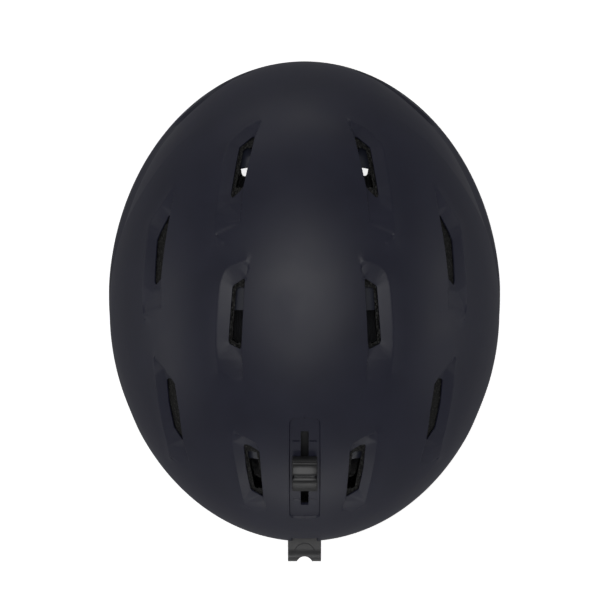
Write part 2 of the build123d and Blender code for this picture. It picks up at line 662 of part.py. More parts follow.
# ---------------------------------------------------------------- chin strap: two Y-straps, dividers, and a strap with a slide-off buckle
FRONT_TOP, FRONT_LOW = (-31.0, -16.0), -3.6
REAR_TOP, REAR_LOW = (47.0, -20.0), 14.0


def y_strap(top, low_y):
    """A flat strap in the plane of the ear pad's face, cut level at both ends, on the wearer's left."""
    slant = atan2(abs(top[0] - low_y), top[1] - DIVIDER_TOP)
    half = WEBBING / 2 / cos(slant)
    with BuildPart() as strap:
        with BuildSketch(Plane.YZ.offset(STRAP_X - WEBBING_WALL / 2)):
            Polygon((low_y - half, DIVIDER_TOP), (low_y + half, DIVIDER_TOP), (top[0] + half, top[1]),
                    (top[0] - half, top[1]), align=None)
        extrude(amount=WEBBING_WALL)
    return CENTRE_PLACE * strap.part


for name, top, low_y in (("strap_front", FRONT_TOP, FRONT_LOW), ("strap_rear", REAR_TOP, REAR_LOW)):
    strap_part = y_strap(top, low_y)
    save(strap_part, f"{name}_left")
    save(mirrored(strap_part), f"{name}_right")

ANCHOR = (4.0, 18.5, 4.0)
with BuildPart() as strap_anchors:
    for side in (1, -1):
        for y, z in (FRONT_TOP, REAR_TOP):
            with Locations(CENTRE + Vector(side * STRAP_X, y, z + ANCHOR[2] / 2)):
                Box(*ANCHOR)
save(strap_anchors.part, "strap_anchors")

DIVIDER_WALL = 4.2
with BuildPart() as divider_left:
    with BuildSketch(Plane.YZ.offset(STRAP_X + WEBBING_WALL / 2 - DIVIDER_WALL)):
        Polygon((-12.5, DIVIDER_TOP), (23.0, DIVIDER_TOP), (23.0, DIVIDER_TOP - 4), (14.5, DIVIDER_BOTTOM),
                (-4.5, DIVIDER_BOTTOM), (-12.5, DIVIDER_TOP - 4), align=None)
    extrude(amount=DIVIDER_WALL)
divider_part = CENTRE_PLACE * divider_left.part
save(divider_part, "strap_divider_left")
save(mirrored(divider_part), "strap_divider_right")

STRAP_LEVEL = WEBBING_WALL / 2
PLUG_LEVEL = 7.0
divider_foot = EQUATOR + DIVIDER_BOTTOM
HUMP_POINTS = [(10.0, PLUG_LEVEL), (-8.0, HUMP_HEIGHT), (-44.0, HUMP_HEIGHT), (-62.0, STRAP_LEVEL)]


def webbing(points, radii, width=WEBBING, wall=WEBBING_WALL):
    """Webbing on edge along a path seen from the front, (x, z)."""
    with BuildPart() as strap:
        with BuildSketch(Plane.XZ.offset(-STRAP_Y - CENTRE_Y)):
            with BuildLine():
                FilletPolyline(*points, radius=radii)
            trace(line_width=wall)
        extrude(amount=width / 2, both=True)
    return strap.part


chin_left = webbing([(STRAP_X, divider_foot), (STRAP_X, STRAP_LEVEL), (BUCKLE_OUT, STRAP_LEVEL)], 9.0)
save(chin_left, "chin_strap_left")
right_points = [(BUCKLE_IN, PLUG_LEVEL), *HUMP_POINTS, (-STRAP_X, STRAP_LEVEL), (-STRAP_X, divider_foot)]
chin_right = webbing(right_points, [12.0, 16.0, 16.0, 10.0, 9.0])
save(chin_right, "chin_strap_right")

SLEEVE_START = 0.35  # share of the hump's far slope that the chin pad covers
sleeve_points = [
    (HUMP_POINTS[1][0] + 8.0, HUMP_HEIGHT - 12.0),
    (-8.0, HUMP_HEIGHT),
    (-44.0, HUMP_HEIGHT),
    (HUMP_POINTS[2][0] - 18.0 * SLEEVE_START, HUMP_HEIGHT - (HUMP_HEIGHT - STRAP_LEVEL) * SLEEVE_START),
]
chin_sleeve = webbing(sleeve_points, [16.0, 16.0], width=21.0, wall=8.0)
chin_slot = webbing(right_points, [12.0, 16.0, 16.0, 10.0, 9.0], width=WEBBING + 0.4, wall=WEBBING_WALL + 0.2)
with BuildPart() as chin_pad:
    add(chin_sleeve)
    add(chin_slot, mode=Mode.SUBTRACT)
save(chin_pad.part, "chin_pad")


def buckle_block(x_low, x_high, z_low, z_high, width=BUCKLE_WIDTH, shift=0.0):
    with BuildPart() as block:
        with Locations(((x_low + x_high) / 2, STRAP_Y + CENTRE_Y + shift, (z_low + z_high) / 2)):
            Box(x_high - x_low, width, z_high - z_low)
    return block.part


MAGNET_X, MAGNET_RADIUS = 39.6, 2.8
with BuildPart() as buckle_socket:
    add(buckle_block(44.0, BUCKLE_OUT, 0, 9.0))
    fillet(buckle_socket.edges().filter_by(Axis.Z).group_by(Axis.X)[-1], 4.0)
    fillet(buckle_socket.faces().sort_by(Axis.Z)[-1].edges(), 1.2)
    add(buckle_block(32.6, 45.0, 0, 2.4))
    add(buckle_block(32.6, 35.4, 0, 4.9))
    add(buckle_block(32.6, 45.0, 0, 4.9, width=2.0, shift=-BUCKLE_WIDTH / 2 + 1.0))
    with Locations((MAGNET_X, STRAP_Y + CENTRE_Y, 2.4 - 0.8)):
        Cylinder(MAGNET_RADIUS, 1.6, mode=Mode.SUBTRACT)
save(buckle_socket.part, "buckle_socket")

with BuildPart() as socket_magnet:
    with Locations((MAGNET_X, STRAP_Y + CENTRE_Y, 2.4 - 0.8)):
        Cylinder(MAGNET_RADIUS, 1.6)
save(socket_magnet.part, "socket_magnet")

with BuildPart() as buckle_plug:
    add(buckle_block(BUCKLE_IN, 43.7, 5.2, 9.0))
    fillet(buckle_plug.edges().filter_by(Axis.Z).group_by(Axis.X)[0], 4.0)
    fillet(buckle_plug.faces().sort_by(Axis.Z)[-1].edges().group_by(Axis.X)[0], 1.2)
    add(buckle_block(35.7, 43.7, 2.7, 6.0, width=BUCKLE_WIDTH - 2.3, shift=1.15))
    with Locations((MAGNET_X, STRAP_Y + CENTRE_Y, 2.7 + 0.8)):
        Cylinder(MAGNET_RADIUS, 1.6, mode=Mode.SUBTRACT)
save(buckle_plug.part, "buckle_plug")

with BuildPart() as plug_magnet:
    with Locations((MAGNET_X, STRAP_Y + CENTRE_Y, 2.7 + 0.8)):
        Cylinder(MAGNET_RADIUS, 1.6)
save(plug_magnet.part, "plug_magnet")

ADJUSTER_X = (-75.0, -68.6)
with BuildPart() as strap_adjuster:
    add(buckle_block(*ADJUSTER_X, WEBBING_WALL + RUNNING, 3.8, width=19.0))
    for side in (1, -1):
        add(buckle_block(*ADJUSTER_X, 0, 2.0, width=1.6, shift=side * 8.7))
save(strap_adjuster.part, "strap_adjuster")

# ---------------------------------------------------------------- foam liner
foam_flange_step = (foam_egg - foam_low_egg) & below(PARTING, FLANGE + GAP)
gasket_room = outer_egg - shell_egg(GASKET_LAYER[1] + GAP)
with BuildPart() as foam_liner:
    add(foam_egg)
    add(cavity_egg, mode=Mode.SUBTRACT)
    add(below(EDGE, 1.5), mode=Mode.SUBTRACT)
    add(foam_flange_step, mode=Mode.SUBTRACT)
    for corners in TOP_VENTS.values():
        for side in (1, -1):
            add(plan_prism(corners, 2.9, side=side) & gasket_room, mode=Mode.SUBTRACT)
            add(vent_hole(corners, side), mode=Mode.SUBTRACT)
    for side in (1, -1):
        add(groove(*SPINE, SHUTTERS[0][1], SHUTTERS[-1][2], side), mode=Mode.SUBTRACT)
        add(groove(0, SPINE[0], *BRIDGE, side), mode=Mode.SUBTRACT)
        for x_low, start, end in SHUTTERS:
            add(groove(x_low, SPINE[0], start, end, side), mode=Mode.SUBTRACT)
        add(groove(-1, CENTRE_RAIL, BRIDGE[0], SLIDER_ANGLE + 2.0, side), mode=Mode.SUBTRACT)
    add(egg_layer(0, 13.4, CLIP_NOTCH_HALF + 3.1, 100, 140, CLIP_NOTCH[0] - 3.4, CLIP_NOTCH[1] + 3.4),
        mode=Mode.SUBTRACT)
    for side in (1, -1):
        for y, rim in SNAP_PLACES:
            with Locations(CENTRE + Vector(side * SNAP_X, y, rim + 2.5)):
                Cylinder(3.1, 9.4, mode=Mode.SUBTRACT)
        for y, z in (FRONT_TOP, REAR_TOP):
            with Locations(CENTRE + Vector(side * STRAP_X, y, z - 6.0)):
                Box(ANCHOR[0] + 0.6, ANCHOR[1] + 8.0, 2 * (ANCHOR[2] + 6.5), mode=Mode.SUBTRACT)
save(foam_liner.part, "foam_liner")
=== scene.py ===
"""Ski helmet: the looks. Metres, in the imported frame; outlines in millimetres from the shell's centre."""

from math import acos, asin, atan2, cos, degrees, hypot, pi, radians, sin, sqrt

import bmesh
import bpy
import numpy as np
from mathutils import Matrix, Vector
from mathutils.bvhtree import BVHTree
from mathutils.geometry import delaunay_2d_cdt
from mathutils.kdtree import KDTree


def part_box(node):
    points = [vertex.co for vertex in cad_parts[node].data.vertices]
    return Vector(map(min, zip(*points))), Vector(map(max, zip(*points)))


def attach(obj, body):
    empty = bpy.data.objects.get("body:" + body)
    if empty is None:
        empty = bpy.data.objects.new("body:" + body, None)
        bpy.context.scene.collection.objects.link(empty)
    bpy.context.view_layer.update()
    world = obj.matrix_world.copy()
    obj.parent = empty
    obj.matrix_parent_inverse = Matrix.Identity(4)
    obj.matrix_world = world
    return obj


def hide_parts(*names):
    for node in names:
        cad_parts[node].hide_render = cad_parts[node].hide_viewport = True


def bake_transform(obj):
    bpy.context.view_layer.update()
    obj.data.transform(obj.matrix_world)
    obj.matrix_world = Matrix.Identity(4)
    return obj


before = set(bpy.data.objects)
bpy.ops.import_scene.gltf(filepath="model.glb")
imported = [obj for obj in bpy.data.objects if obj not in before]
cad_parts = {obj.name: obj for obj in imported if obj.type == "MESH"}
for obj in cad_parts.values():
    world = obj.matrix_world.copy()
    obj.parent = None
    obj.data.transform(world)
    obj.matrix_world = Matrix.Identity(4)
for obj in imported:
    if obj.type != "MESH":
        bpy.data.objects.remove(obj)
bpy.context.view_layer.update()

MM = 0.001
SHELL_CENTRE = Vector((0.0, -0.0065, 0.115))
WIDE, LONG, UP, DOWN = 112.5, 137.5, 115.0, 170.0  # the shell's half width, half length, crown and skirt
UPPER_WALL = 2.6
LOWER_WALL_IN = 4.7
LIP = 9.0


# ---------------------------------------------------------------- materials
def principled(material):
    return material.node_tree.nodes["Principled BSDF"]


def new_material(name, colour, roughness, metallic=0.0, specular=0.5, sheen=0.0):
    material = bpy.data.materials.new(name)
    material.use_nodes = True
    shader = principled(material)
    shader.inputs["Base Color"].default_value = (*colour, 1)
    shader.inputs["Roughness"].default_value = roughness
    shader.inputs["Metallic"].default_value = metallic
    shader.inputs["Specular IOR Level"].default_value = specular
    shader.inputs["Sheen Weight"].default_value = sheen
    shader.inputs["Sheen Roughness"].default_value = 0.5
    return material


def add_node(material, kind, **settings):
    node = material.node_tree.nodes.new(kind)
    for name, value in settings.items():
        if name in node.inputs:
            node.inputs[name].default_value = value
        else:
            setattr(node, name, value)
    return node


def join(material, start, end):
    material.node_tree.links.new(start, end)


def place(material, scale=(1, 1, 1)):
    """Object coordinates, which stay with the piece as it moves."""
    where = add_node(material, "ShaderNodeTexCoord")
    mapping = add_node(material, "ShaderNodeMapping", Scale=scale)
    join(material, where.outputs["Object"], mapping.inputs["Vector"])
    return mapping.outputs["Vector"]


def ramp(material, factor, stops):
    node = add_node(material, "ShaderNodeValToRGB")
    elements = node.color_ramp.elements
    while len(elements) < len(stops):
        elements.new(0.5)
    for element, (position, colour) in zip(elements, stops):
        element.position = position
        element.color = (*colour, 1) if isinstance(colour, tuple) else (colour, colour, colour, 1)
    join(material, factor, node.inputs["Fac"])
    return node.outputs["Color"]


def calculate(material, operation, first, second):
    """A math node on a socket and a second socket or number."""
    node = add_node(material, "ShaderNodeMath", operation=operation)
    join(material, first, node.inputs[0])
    if isinstance(second, float):
        node.inputs[1].default_value = second
    else:
        join(material, second, node.inputs[1])
    return node.outputs[0]


def bump(material, height, strength, distance):
    node = add_node(material, "ShaderNodeBump", Strength=strength, Distance=distance)
    join(material, height, node.inputs["Height"])
    join(material, node.outputs["Normal"], principled(material).inputs["Normal"])


def moulded(name, colour, roughness, grain=900.0, depth=0.00004, spread=0.12, strength=0.35, **extra):
    """Moulded plastic or rubber: fine grain, cloudy roughness, a little colour variation."""
    material = new_material(name, colour, roughness, **extra)
    shader = principled(material)
    where = place(material)
    fine = add_node(material, "ShaderNodeTexNoise", Scale=grain, Detail=3.0, Roughness=0.6)
    cloud = add_node(material, "ShaderNodeTexNoise", Scale=38.0, Detail=4.0, Roughness=0.55)
    join(material, where, fine.inputs["Vector"])
    join(material, where, cloud.inputs["Vector"])
    darker = tuple(c * (1 - spread) for c in colour)
    lighter = tuple(c * (1 + spread) for c in colour)
    tint = ramp(material, cloud.outputs["Fac"], [(0.3, darker), (0.7, lighter)])
    join(material, tint, shader.inputs["Base Color"])
    smoother, rougher = max(roughness - 0.05, 0.02), roughness + 0.06
    rough = ramp(material, cloud.outputs["Fac"], [(0.25, smoother), (0.75, rougher)])
    join(material, rough, shader.inputs["Roughness"])
    bump(material, fine.outputs["Fac"], strength, depth)
    return material


def beaded_foam(name, base, speck, bead=2.6, strength=0.9):
    """Expanded foam: rounded beads pressed together, with pale specks on some and painted shade darkening
    the seams between.
    """
    material = new_material(name, base, 0.6, specular=0.25)
    shader = principled(material)
    where = place(material)
    beads = add_node(material, "ShaderNodeTexVoronoi", Scale=1000.0 / bead, feature="F1")
    seams = add_node(material, "ShaderNodeTexVoronoi", Scale=1000.0 / bead, feature="DISTANCE_TO_EDGE")
    fine = add_node(material, "ShaderNodeTexNoise", Scale=2300.0, Detail=2.0)
    for node in (beads, seams, fine):
        join(material, where, node.inputs["Vector"])
    lit = ramp(material, fine.outputs["Fac"], [(0.56, 0.0), (0.74, 1.0)])
    # Painted shade: the colour darkens towards each bead's edge, in the seams where the bead relief dips.
    edge = ramp(material, seams.outputs["Distance"], [(0.02, 0.15), (0.2, 1.0)])
    mix = add_node(material, "ShaderNodeMix", data_type="RGBA")
    join(material, lit, mix.inputs[0])
    mix.inputs[6].default_value = (*base, 1)
    mix.inputs[7].default_value = (*speck, 1)
    painted_seam_shade = add_node(material, "ShaderNodeMix", data_type="RGBA", blend_type="MULTIPLY")
    painted_seam_shade.inputs[0].default_value = 1.0
    join(material, mix.outputs[2], painted_seam_shade.inputs[6])
    join(material, edge, painted_seam_shade.inputs[7])
    join(material, painted_seam_shade.outputs[2], shader.inputs["Base Color"])
    round_bead = ramp(material, beads.outputs["Distance"], [(0.0, 1.0), (0.75, 0.0)])
    bump(material, round_bead, strength, 0.0009)
    return material


WAVE_SCALE = 0.314  # turns a thread pitch in metres into the wave texture's scale


def woven(name, colour, pitch, roughness=0.85, depth=0.0002, sheen=0.25, fuzz=0.0):
    """A weave of crossing threads, with fuzz for fleece."""
    material = new_material(name, colour, roughness, specular=0.25, sheen=sheen)
    shader = principled(material)
    where = place(material)
    heights = []
    for axis in ("X", "Y", "Z"):
        wave = add_node(material, "ShaderNodeTexWave", Scale=1.0 / pitch * WAVE_SCALE, Distortion=0.6,
                        Detail=1.0, bands_direction=axis)
        join(material, where, wave.inputs["Vector"])
        heights.append(wave.outputs["Fac"])
    total = heights[0]
    for height in heights[1:]:
        total = calculate(material, "ADD", total, height)
    if fuzz:
        pile = add_node(material, "ShaderNodeTexNoise", Scale=900.0, Detail=5.0, Roughness=0.7)
        join(material, where, pile.inputs["Vector"])
        total = calculate(material, "ADD", total,
                          calculate(material, "MULTIPLY", pile.outputs["Fac"], fuzz))
    level = calculate(material, "MULTIPLY", total, 1.0 / (3.0 + fuzz))
    # Painted shade and painted highlight: the colour follows the weave's relief, darker in its low places
    # and lighter on its high places.
    darker = tuple(c * 0.55 for c in colour)
    lighter = tuple(min(c * 1.4, 1) for c in colour)
    tint = ramp(material, level, [(0.25, darker), (0.75, lighter)])
    join(material, tint, shader.inputs["Base Color"])
    bump(material, level, 0.7, depth)
    return material


def brushed_steel(name):
    material = new_material(name, (0.52, 0.53, 0.55), 0.3, metallic=1.0)
    grain = add_node(material, "ShaderNodeTexNoise", Scale=300.0, Detail=6.0)
    join(material, place(material, (1, 12, 12)), grain.inputs["Vector"])
    rough = ramp(material, grain.outputs["Fac"], [(0.3, 0.2), (0.7, 0.42)])
    join(material, rough, principled(material).inputs["Roughness"])
    bump(material, grain.outputs["Fac"], 0.2, 0.00005)
    return material


shell_paint = moulded("shell_paint", (0.0092, 0.0099, 0.0222), 0.47, grain=1400.0, depth=0.00002,
                      spread=0.10, strength=0.18, specular=0.4)
lower_paint = moulded("lower_paint", (0.0088, 0.0095, 0.0212), 0.47, grain=1300.0, depth=0.00003,
                      strength=0.22)
shutter_plastic = moulded("shutter_navy", (0.017, 0.019, 0.030), 0.38, grain=1100.0)
satin_black = moulded("satin_black", (0.014, 0.0145, 0.016), 0.42, grain=700.0)
knob_plastic = moulded("knob_plastic", (0.008, 0.0082, 0.009), 0.38, grain=900.0, depth=0.00003)
clip_plastic = moulded("clip_plastic", (0.026, 0.026, 0.028), 0.40, grain=900.0, depth=0.00003)
dial_rubber = moulded("dial_rubber", (0.02, 0.02, 0.022), 0.6, grain=600.0)
pale_acetal = moulded("pale_acetal", (0.62, 0.61, 0.57), 0.35, grain=500.0, spread=0.04)
magnet_face = brushed_steel("magnet_plate")
pin_steel = brushed_steel("pin_steel")
liner_foam = beaded_foam("liner_foam", (0.0035, 0.0035, 0.004), (0.055, 0.055, 0.046))
gasket_foam = beaded_foam("gasket_foam", (0.0035, 0.0035, 0.004), (0.06, 0.06, 0.05), bead=2.0)
pad_fleece = woven("pad_fleece", (0.030, 0.031, 0.036), 0.0011, sheen=0.6, fuzz=2.5)
ear_fleece = woven("ear_fleece", (0.035, 0.036, 0.042), 0.0013, sheen=0.7, fuzz=3.0)
ear_knit = woven("ear_knit", (0.022, 0.023, 0.027), 0.0016, depth=0.0003, sheen=0.3)
strap_weave = woven("strap_weave", (0.016, 0.016, 0.018), 0.0012, roughness=0.75, depth=0.0003)
thread = woven("thread", (0.05, 0.05, 0.055), 0.0004, roughness=0.6)


def dress(piece, *materials):
    piece.data.materials.clear()
    for material in materials:
        piece.data.materials.append(material)


NODE_LOOKS = {
    liner_foam: ["foam_liner"],
    gasket_foam: ["vent_gaskets"],
    shutter_plastic: ["shutter_left", "shutter_right"],
    satin_black: ["shutter_bridge", "slider_stem", "clip_bracket", "fit_band_left", "fit_band_right",
                  "hinge_bracket", "dial_housing", "rear_cradle", "ear_pad_snaps", "strap_anchors",
                  "strap_divider_left", "strap_divider_right", "strap_adjuster", "buckle_socket",
                  "buckle_plug"],
    dial_rubber: ["fit_dial"],
    pale_acetal: ["dial_pinion"],
    magnet_face: ["socket_magnet", "plug_magnet"],
    pin_steel: ["clip_pin", "hinge_pin", "dial_screw"],
    clip_plastic: ["goggle_clip"],
    knob_plastic: ["vent_slider_knob"],
}
for look, names in NODE_LOOKS.items():
    for name in names:
        dress(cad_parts[name], look)


# ---------------------------------------------------------------- the shell's egg and its unrolled plan
def egg_point(u, v, inset=0.0):
    """A point of the egg in metres. (u, v) is across and along, as long as the angle from the crown."""
    angle = hypot(u, v)
    k = sin(angle) / angle if angle > 1e-9 else 1.0
    deep = (UP if angle < pi / 2 else DOWN) - inset
    return SHELL_CENTRE + Vector(((WIDE - inset) * u * k, (LONG - inset) * v * k, deep * cos(angle))) * MM


def unroll(x, y, z=None, inset=0.0):
    """The flat place, in mm, of a point seen from above, or of any point on the egg where z is given."""
    across, along = x / (WIDE - inset), y / (LONG - inset)
    reach = hypot(across, along)
    if z is None:
        angle = asin(min(reach, 1.0))
    else:
        angle = acos(max(-1.0, min(1.0, z / (UP if z > 0 else DOWN))))
    k = angle / reach if reach > 1e-9 else 1.0
    return Vector((across * k * WIDE, along * k * LONG))


def on_side(azimuth, z):
    """The flat place at height z from the equator, and at an azimuth from the front to the wearer's left."""
    angle = acos(z / (UP if z > 0 else DOWN))
    wide, along = sin(azimuth) * LONG, -cos(azimuth) * WIDE
    size = hypot(wide, along)
    return Vector((angle * wide / size * WIDE, angle * along / size * LONG))


def table(rows, value, smooth=False):
    """Looks a value up in rows of (position, result)."""
    if value <= rows[0][0]:
        return rows[0][1]
    for (start, low), (end, high) in zip(rows, rows[1:]):
        if value <= end:
            t = (value - start) / (end - start)
            if smooth:
                t = t * t * (3 - 2 * t)
            return low + (high - low) * t
    return rows[-1][1]


def spline_table(rows, value):
    """A smooth curve through rows of (position, result)."""
    xs = [row[0] for row in rows]
    ys = [row[1] for row in rows]
    slopes = np.gradient(ys, xs)
    value = max(xs[0], min(xs[-1], value))
    i = min(max(int(np.searchsorted(xs, value)) - 1, 0), len(xs) - 2)
    gap = xs[i + 1] - xs[i]
    t = (value - xs[i]) / gap
    start = (2 * t**3 - 3 * t**2 + 1) * ys[i] + (t**3 - 2 * t**2 + t) * gap * slopes[i]
    return start + (3 * t**2 - 2 * t**3) * ys[i + 1] + (t**3 - t**2) * gap * slopes[i + 1]


# Side-view lines of the two shells, (y, z), front to back.
EDGE = [(-160, -12), (-100, -12), (-62, -34), (-42, -37), (-20, -25), (28, -25), (60, -42), (95, -52),
        (160, -52)]
PARTING = [(-160, 14), (-130, 22), (-112, 29), (-88, 24), (-60, 26), (-30, 24), (5, 8), (45, 4), (85, -4),
           (160, -10)]


def side_point(azimuth, z):
    """Where the azimuth's meridian is at height z: y from the shell's centre."""
    ring = sqrt(max(0.0, 1 - (z / (UP if z > 0 else DOWN)) ** 2))
    wide, along = sin(azimuth) * LONG, -cos(azimuth) * WIDE
    return ring * LONG * along / hypot(wide, along)


def line_height(line, azimuth):
    """Height of a side-view line at an azimuth."""
    low, high = -90.0, 90.0
    for _ in range(40):
        z = (low + high) / 2
        if z > spline_table(line, side_point(azimuth, z)):
            high = z
        else:
            low = z
    return (low + high) / 2


# By azimuth: the height of the crease over the valley, and the valley's depth.
CREASE = [(18, 60), (25, 58), (40, 52), (52, 47), (75, 30), (91, 22), (103, 16), (112, 14), (124, 15),
          (133, 4), (141, 0), (152, -3)]
VALLEY_DEPTH = [(18, 0.0), (30, 0.8), (40, 1.6), (48, 2.2), (95, 2.2), (104, 1.3), (115, 1.5), (128, 1.3),
                (141, 0.6), (152, 0.0)]


def valley(azimuth, z, parting):
    """How far the band between the crease and the parting line falls in."""
    turn = degrees(azimuth)
    depth = table(VALLEY_DEPTH, turn)
    if depth <= 0:
        return 0.0
    crease = spline_table(CREASE, turn)
    return depth * max(0.0, min(1.0, (crease - z) / max(crease - parting, 3.0)))


# ---------------------------------------------------------------- vents
# Each vent lies in a dished channel. From above, on the wearer's left, front to back: crest is its outer
# ridge, step its inner edge, hole the opening, fold a line in its rear ramp, with its depth under the face.
VENTS = {
    "front": dict(
        crest=[(25.1, -99.3), (32.2, -95.4), (39.2, -89.0), (42.8, -83.8), (46.2, -64.4), (48.3, -46.0),
               (48.5, -31.4)],
        step=[(24.0, -98.9), (27.4, -89.9), (33.5, -61.6), (35.0, -42.4)],
        drop=[0.0, 1.8, 1.8, 0.5],
        hole=[(28.6, -90.7), (36.0, -84.6), (40.5, -57.7), (39.3, -56.2), (34.4, -60.9)],
        fold=[(41.7, -53.3, 1.2), (48.0, -35.8, 0.1)],
        end=(41.6, -31.5)),
    "middle": dict(
        crest=[(32.0, -21.7), (41.4, -18.1), (44.4, -14.0), (46.2, -7.4), (47.5, 7.8), (48.0, 23.0),
               (46.8, 38.3)],
        step=[(30.5, -20.9), (30.5, -17.3), (32.3, -11.6), (34.3, 26.4), (33.2, 43.3)],
        drop=[0.0, 1.0, 1.8, 1.8, 0.3],
        hole=[(32.9, -12.4), (39.2, -8.2), (41.5, 21.5), (41.0, 23.2), (34.9, 26.3)],
        fold=[],
        end=(40.5, 42.5)),
    "side_front": dict(
        crest=[(73.8, -60.5), (79.4, -52.0), (85.1, -43.8), (86.4, -38.2), (88.3, -23.8), (89.3, -8.8),
               (89.3, 2.2), (88.2, 10.5)],
        step=[(71.8, -61.0), (74.1, -47.9), (77.3, -28.1), (79.0, -12.1), (79.1, 4.4)],
        drop=[0.0, 1.7, 1.8, 1.6, 0.3],
        hole=[(74.8, -47.6), (79.7, -38.6), (81.7, -33.7), (82.9, -10.6), (82.1, -8.6), (79.8, -11.4)],
        fold=[(85.2, -5.0, 0.9), (88.3, 5.5, 0.1)],
        end=(84.1, 10.9)),
    "side_rear": dict(
        crest=[(83.5, 32.0), (81.7, 50.0), (78.7, 67.3), (76.5, 78.1), (75.0, 87.5)],
        step=[(82.8, 31.2), (73.9, 41.7), (71.4, 45.7), (69.2, 61.2), (67.4, 77.3), (63.9, 89.9)],
        drop=[0.0, 1.7, 1.8, 1.8, 1.6, 0.2],
        hole=[(74.1, 42.4), (76.2, 43.1), (75.4, 55.6), (72.6, 70.4), (67.9, 77.2)],
        fold=[(75.3, 73.4, 0.8)],
        end=(69.6, 90.5)),
    "rear": dict(
        crest=[(39.8, 72.8), (38.4, 85.9), (35.7, 101.1), (33.1, 113.2)],
        step=[(38.6, 71.6), (26.1, 77.8), (24.6, 82.7), (22.8, 108.6), (20.4, 117.0)],
        drop=[0.0, 1.6, 1.8, 1.8, 0.2],
        hole=[(26.2, 81.4), (30.9, 78.7), (33.5, 78.6), (32.4, 91.9), (30.0, 104.6), (23.2, 108.7)],
        fold=[(32.0, 107.4, 0.9)],
        end=(26.5, 118.2)),
}
CREST_RISE = 0.6  # how far the ridge stands over the shell's face
CREST_SKIRT = 8.0  # how far outside the ridge the face still rises
HOLE_DEPTH = 1.9
HOLE_ROUND = 1.3
HOLE_INNER = 0.7  # the opening begins this far out from the step
STEP_ROUND = [(0.25, 0.12), (0.65, 1.0)]  # how far out, and what share of the drop

PANEL = (8.5, 63.5, 121.0)  # half width, front, back
PANEL_DEPTH = 1.1
SLOT = (2.2, 71.5, 114.0)  # half width, front, back
MARKS = [(77.0, 6.7), (110.6, 6.4)]  # y, and how far out each mark runs
MARK_DEPTH = 0.5


def curve(points, step=0.9):
    """A smooth run through flat points, sampled about every step."""
    rows = [Vector(p) for p in points]
    ends = [rows[0] * 2 - rows[1], *rows, rows[-1] * 2 - rows[-2]]
    out = []
    for before, start, end, after in zip(ends, ends[1:], ends[2:], ends[3:]):
        count = max(1, round((end - start).length / step))
        for i in range(count):
            t = i / count
            out.append(0.5 * (2 * start + (end - before) * t
                              + (2 * before - 5 * start + 4 * end - after) * t * t
                              + (3 * start - before - 3 * end + after) * t**3))
    return [*out, rows[-1]]


def straight(points, step=0.9, closed=False):
    rows = [Vector(p) for p in points]
    if closed:
        rows.append(rows[0])
    out = []
    for start, end in zip(rows, rows[1:]):
        count = max(1, round((end - start).length / step))
        out += [start.lerp(end, i / count) for i in range(count)]
    return out if closed else [*out, rows[-1]]


def rounded(points, radius, step=0.5):
    """A closed outline with rounded corners."""
    out = []
    count = len(points)
    for i in range(count):
        before, corner, after = (Vector(points[(i + k) % count]) for k in (-1, 0, 1))
        cut = min(radius, (before - corner).length * 0.45, (after - corner).length * 0.45)
        start = corner + (before - corner).normalized() * cut
        end = corner + (after - corner).normalized() * cut
        for k in range(5):
            t = k / 4
            out.append(start * (1 - t) ** 2 + corner * 2 * t * (1 - t) + end * t * t)
    return straight(out, step, closed=True)


def inside(outline, points):
    """Which of an array of points lie inside an outline."""
    corners = np.array([tuple(p) for p in outline])
    following = np.roll(corners, -1, axis=0)
    hits = np.zeros(len(points), dtype=int)
    for (x0, y0), (x1, y1) in zip(corners, following):
        if y0 == y1:
            continue
        crosses = (points[:, 1] < y0) != (points[:, 1] < y1)
        at = x0 + (points[:, 1] - y0) * (x1 - x0) / (y1 - y0)
        hits += crosses & (points[:, 0] < at)
    return hits % 2 == 1


def distance(runs, points):
    """How far each point is from the nearest of several runs."""
    best = np.full(len(points), 1e9)
    for run in runs:
        corners = np.array([tuple(p) for p in run])
        for start, end in zip(corners, corners[1:]):
            along = end - start
            size = max(float(along @ along), 1e-12)
            t = np.clip(((points - start) @ along) / size, 0, 1)
            best = np.minimum(best, np.hypot(*(points - start - t[:, None] * along).T))
    return best


def near(runs, points):
    """How far each point is from the nearest sample of several closely sampled runs."""
    samples = [p for run in runs for start, end in zip(run, run[1:]) for p in (start, (start + end) / 2)]
    tree = KDTree(len(samples))
    for i, p in enumerate(samples):
        tree.insert((p.x, p.y, 0), i)
    tree.balance()
    return np.array([tree.find((x, y, 0))[2] for x, y in points])


def moved_out(run, amount):
    """A run moved towards the channel's crest, on the wearer's left of it."""
    out = []
    for i, p in enumerate(run):
        ahead = run[min(i + 1, len(run) - 1)] - run[max(i - 1, 0)]
        out.append(p + Vector((ahead.y, -ahead.x)).normalized() * amount)
    return out


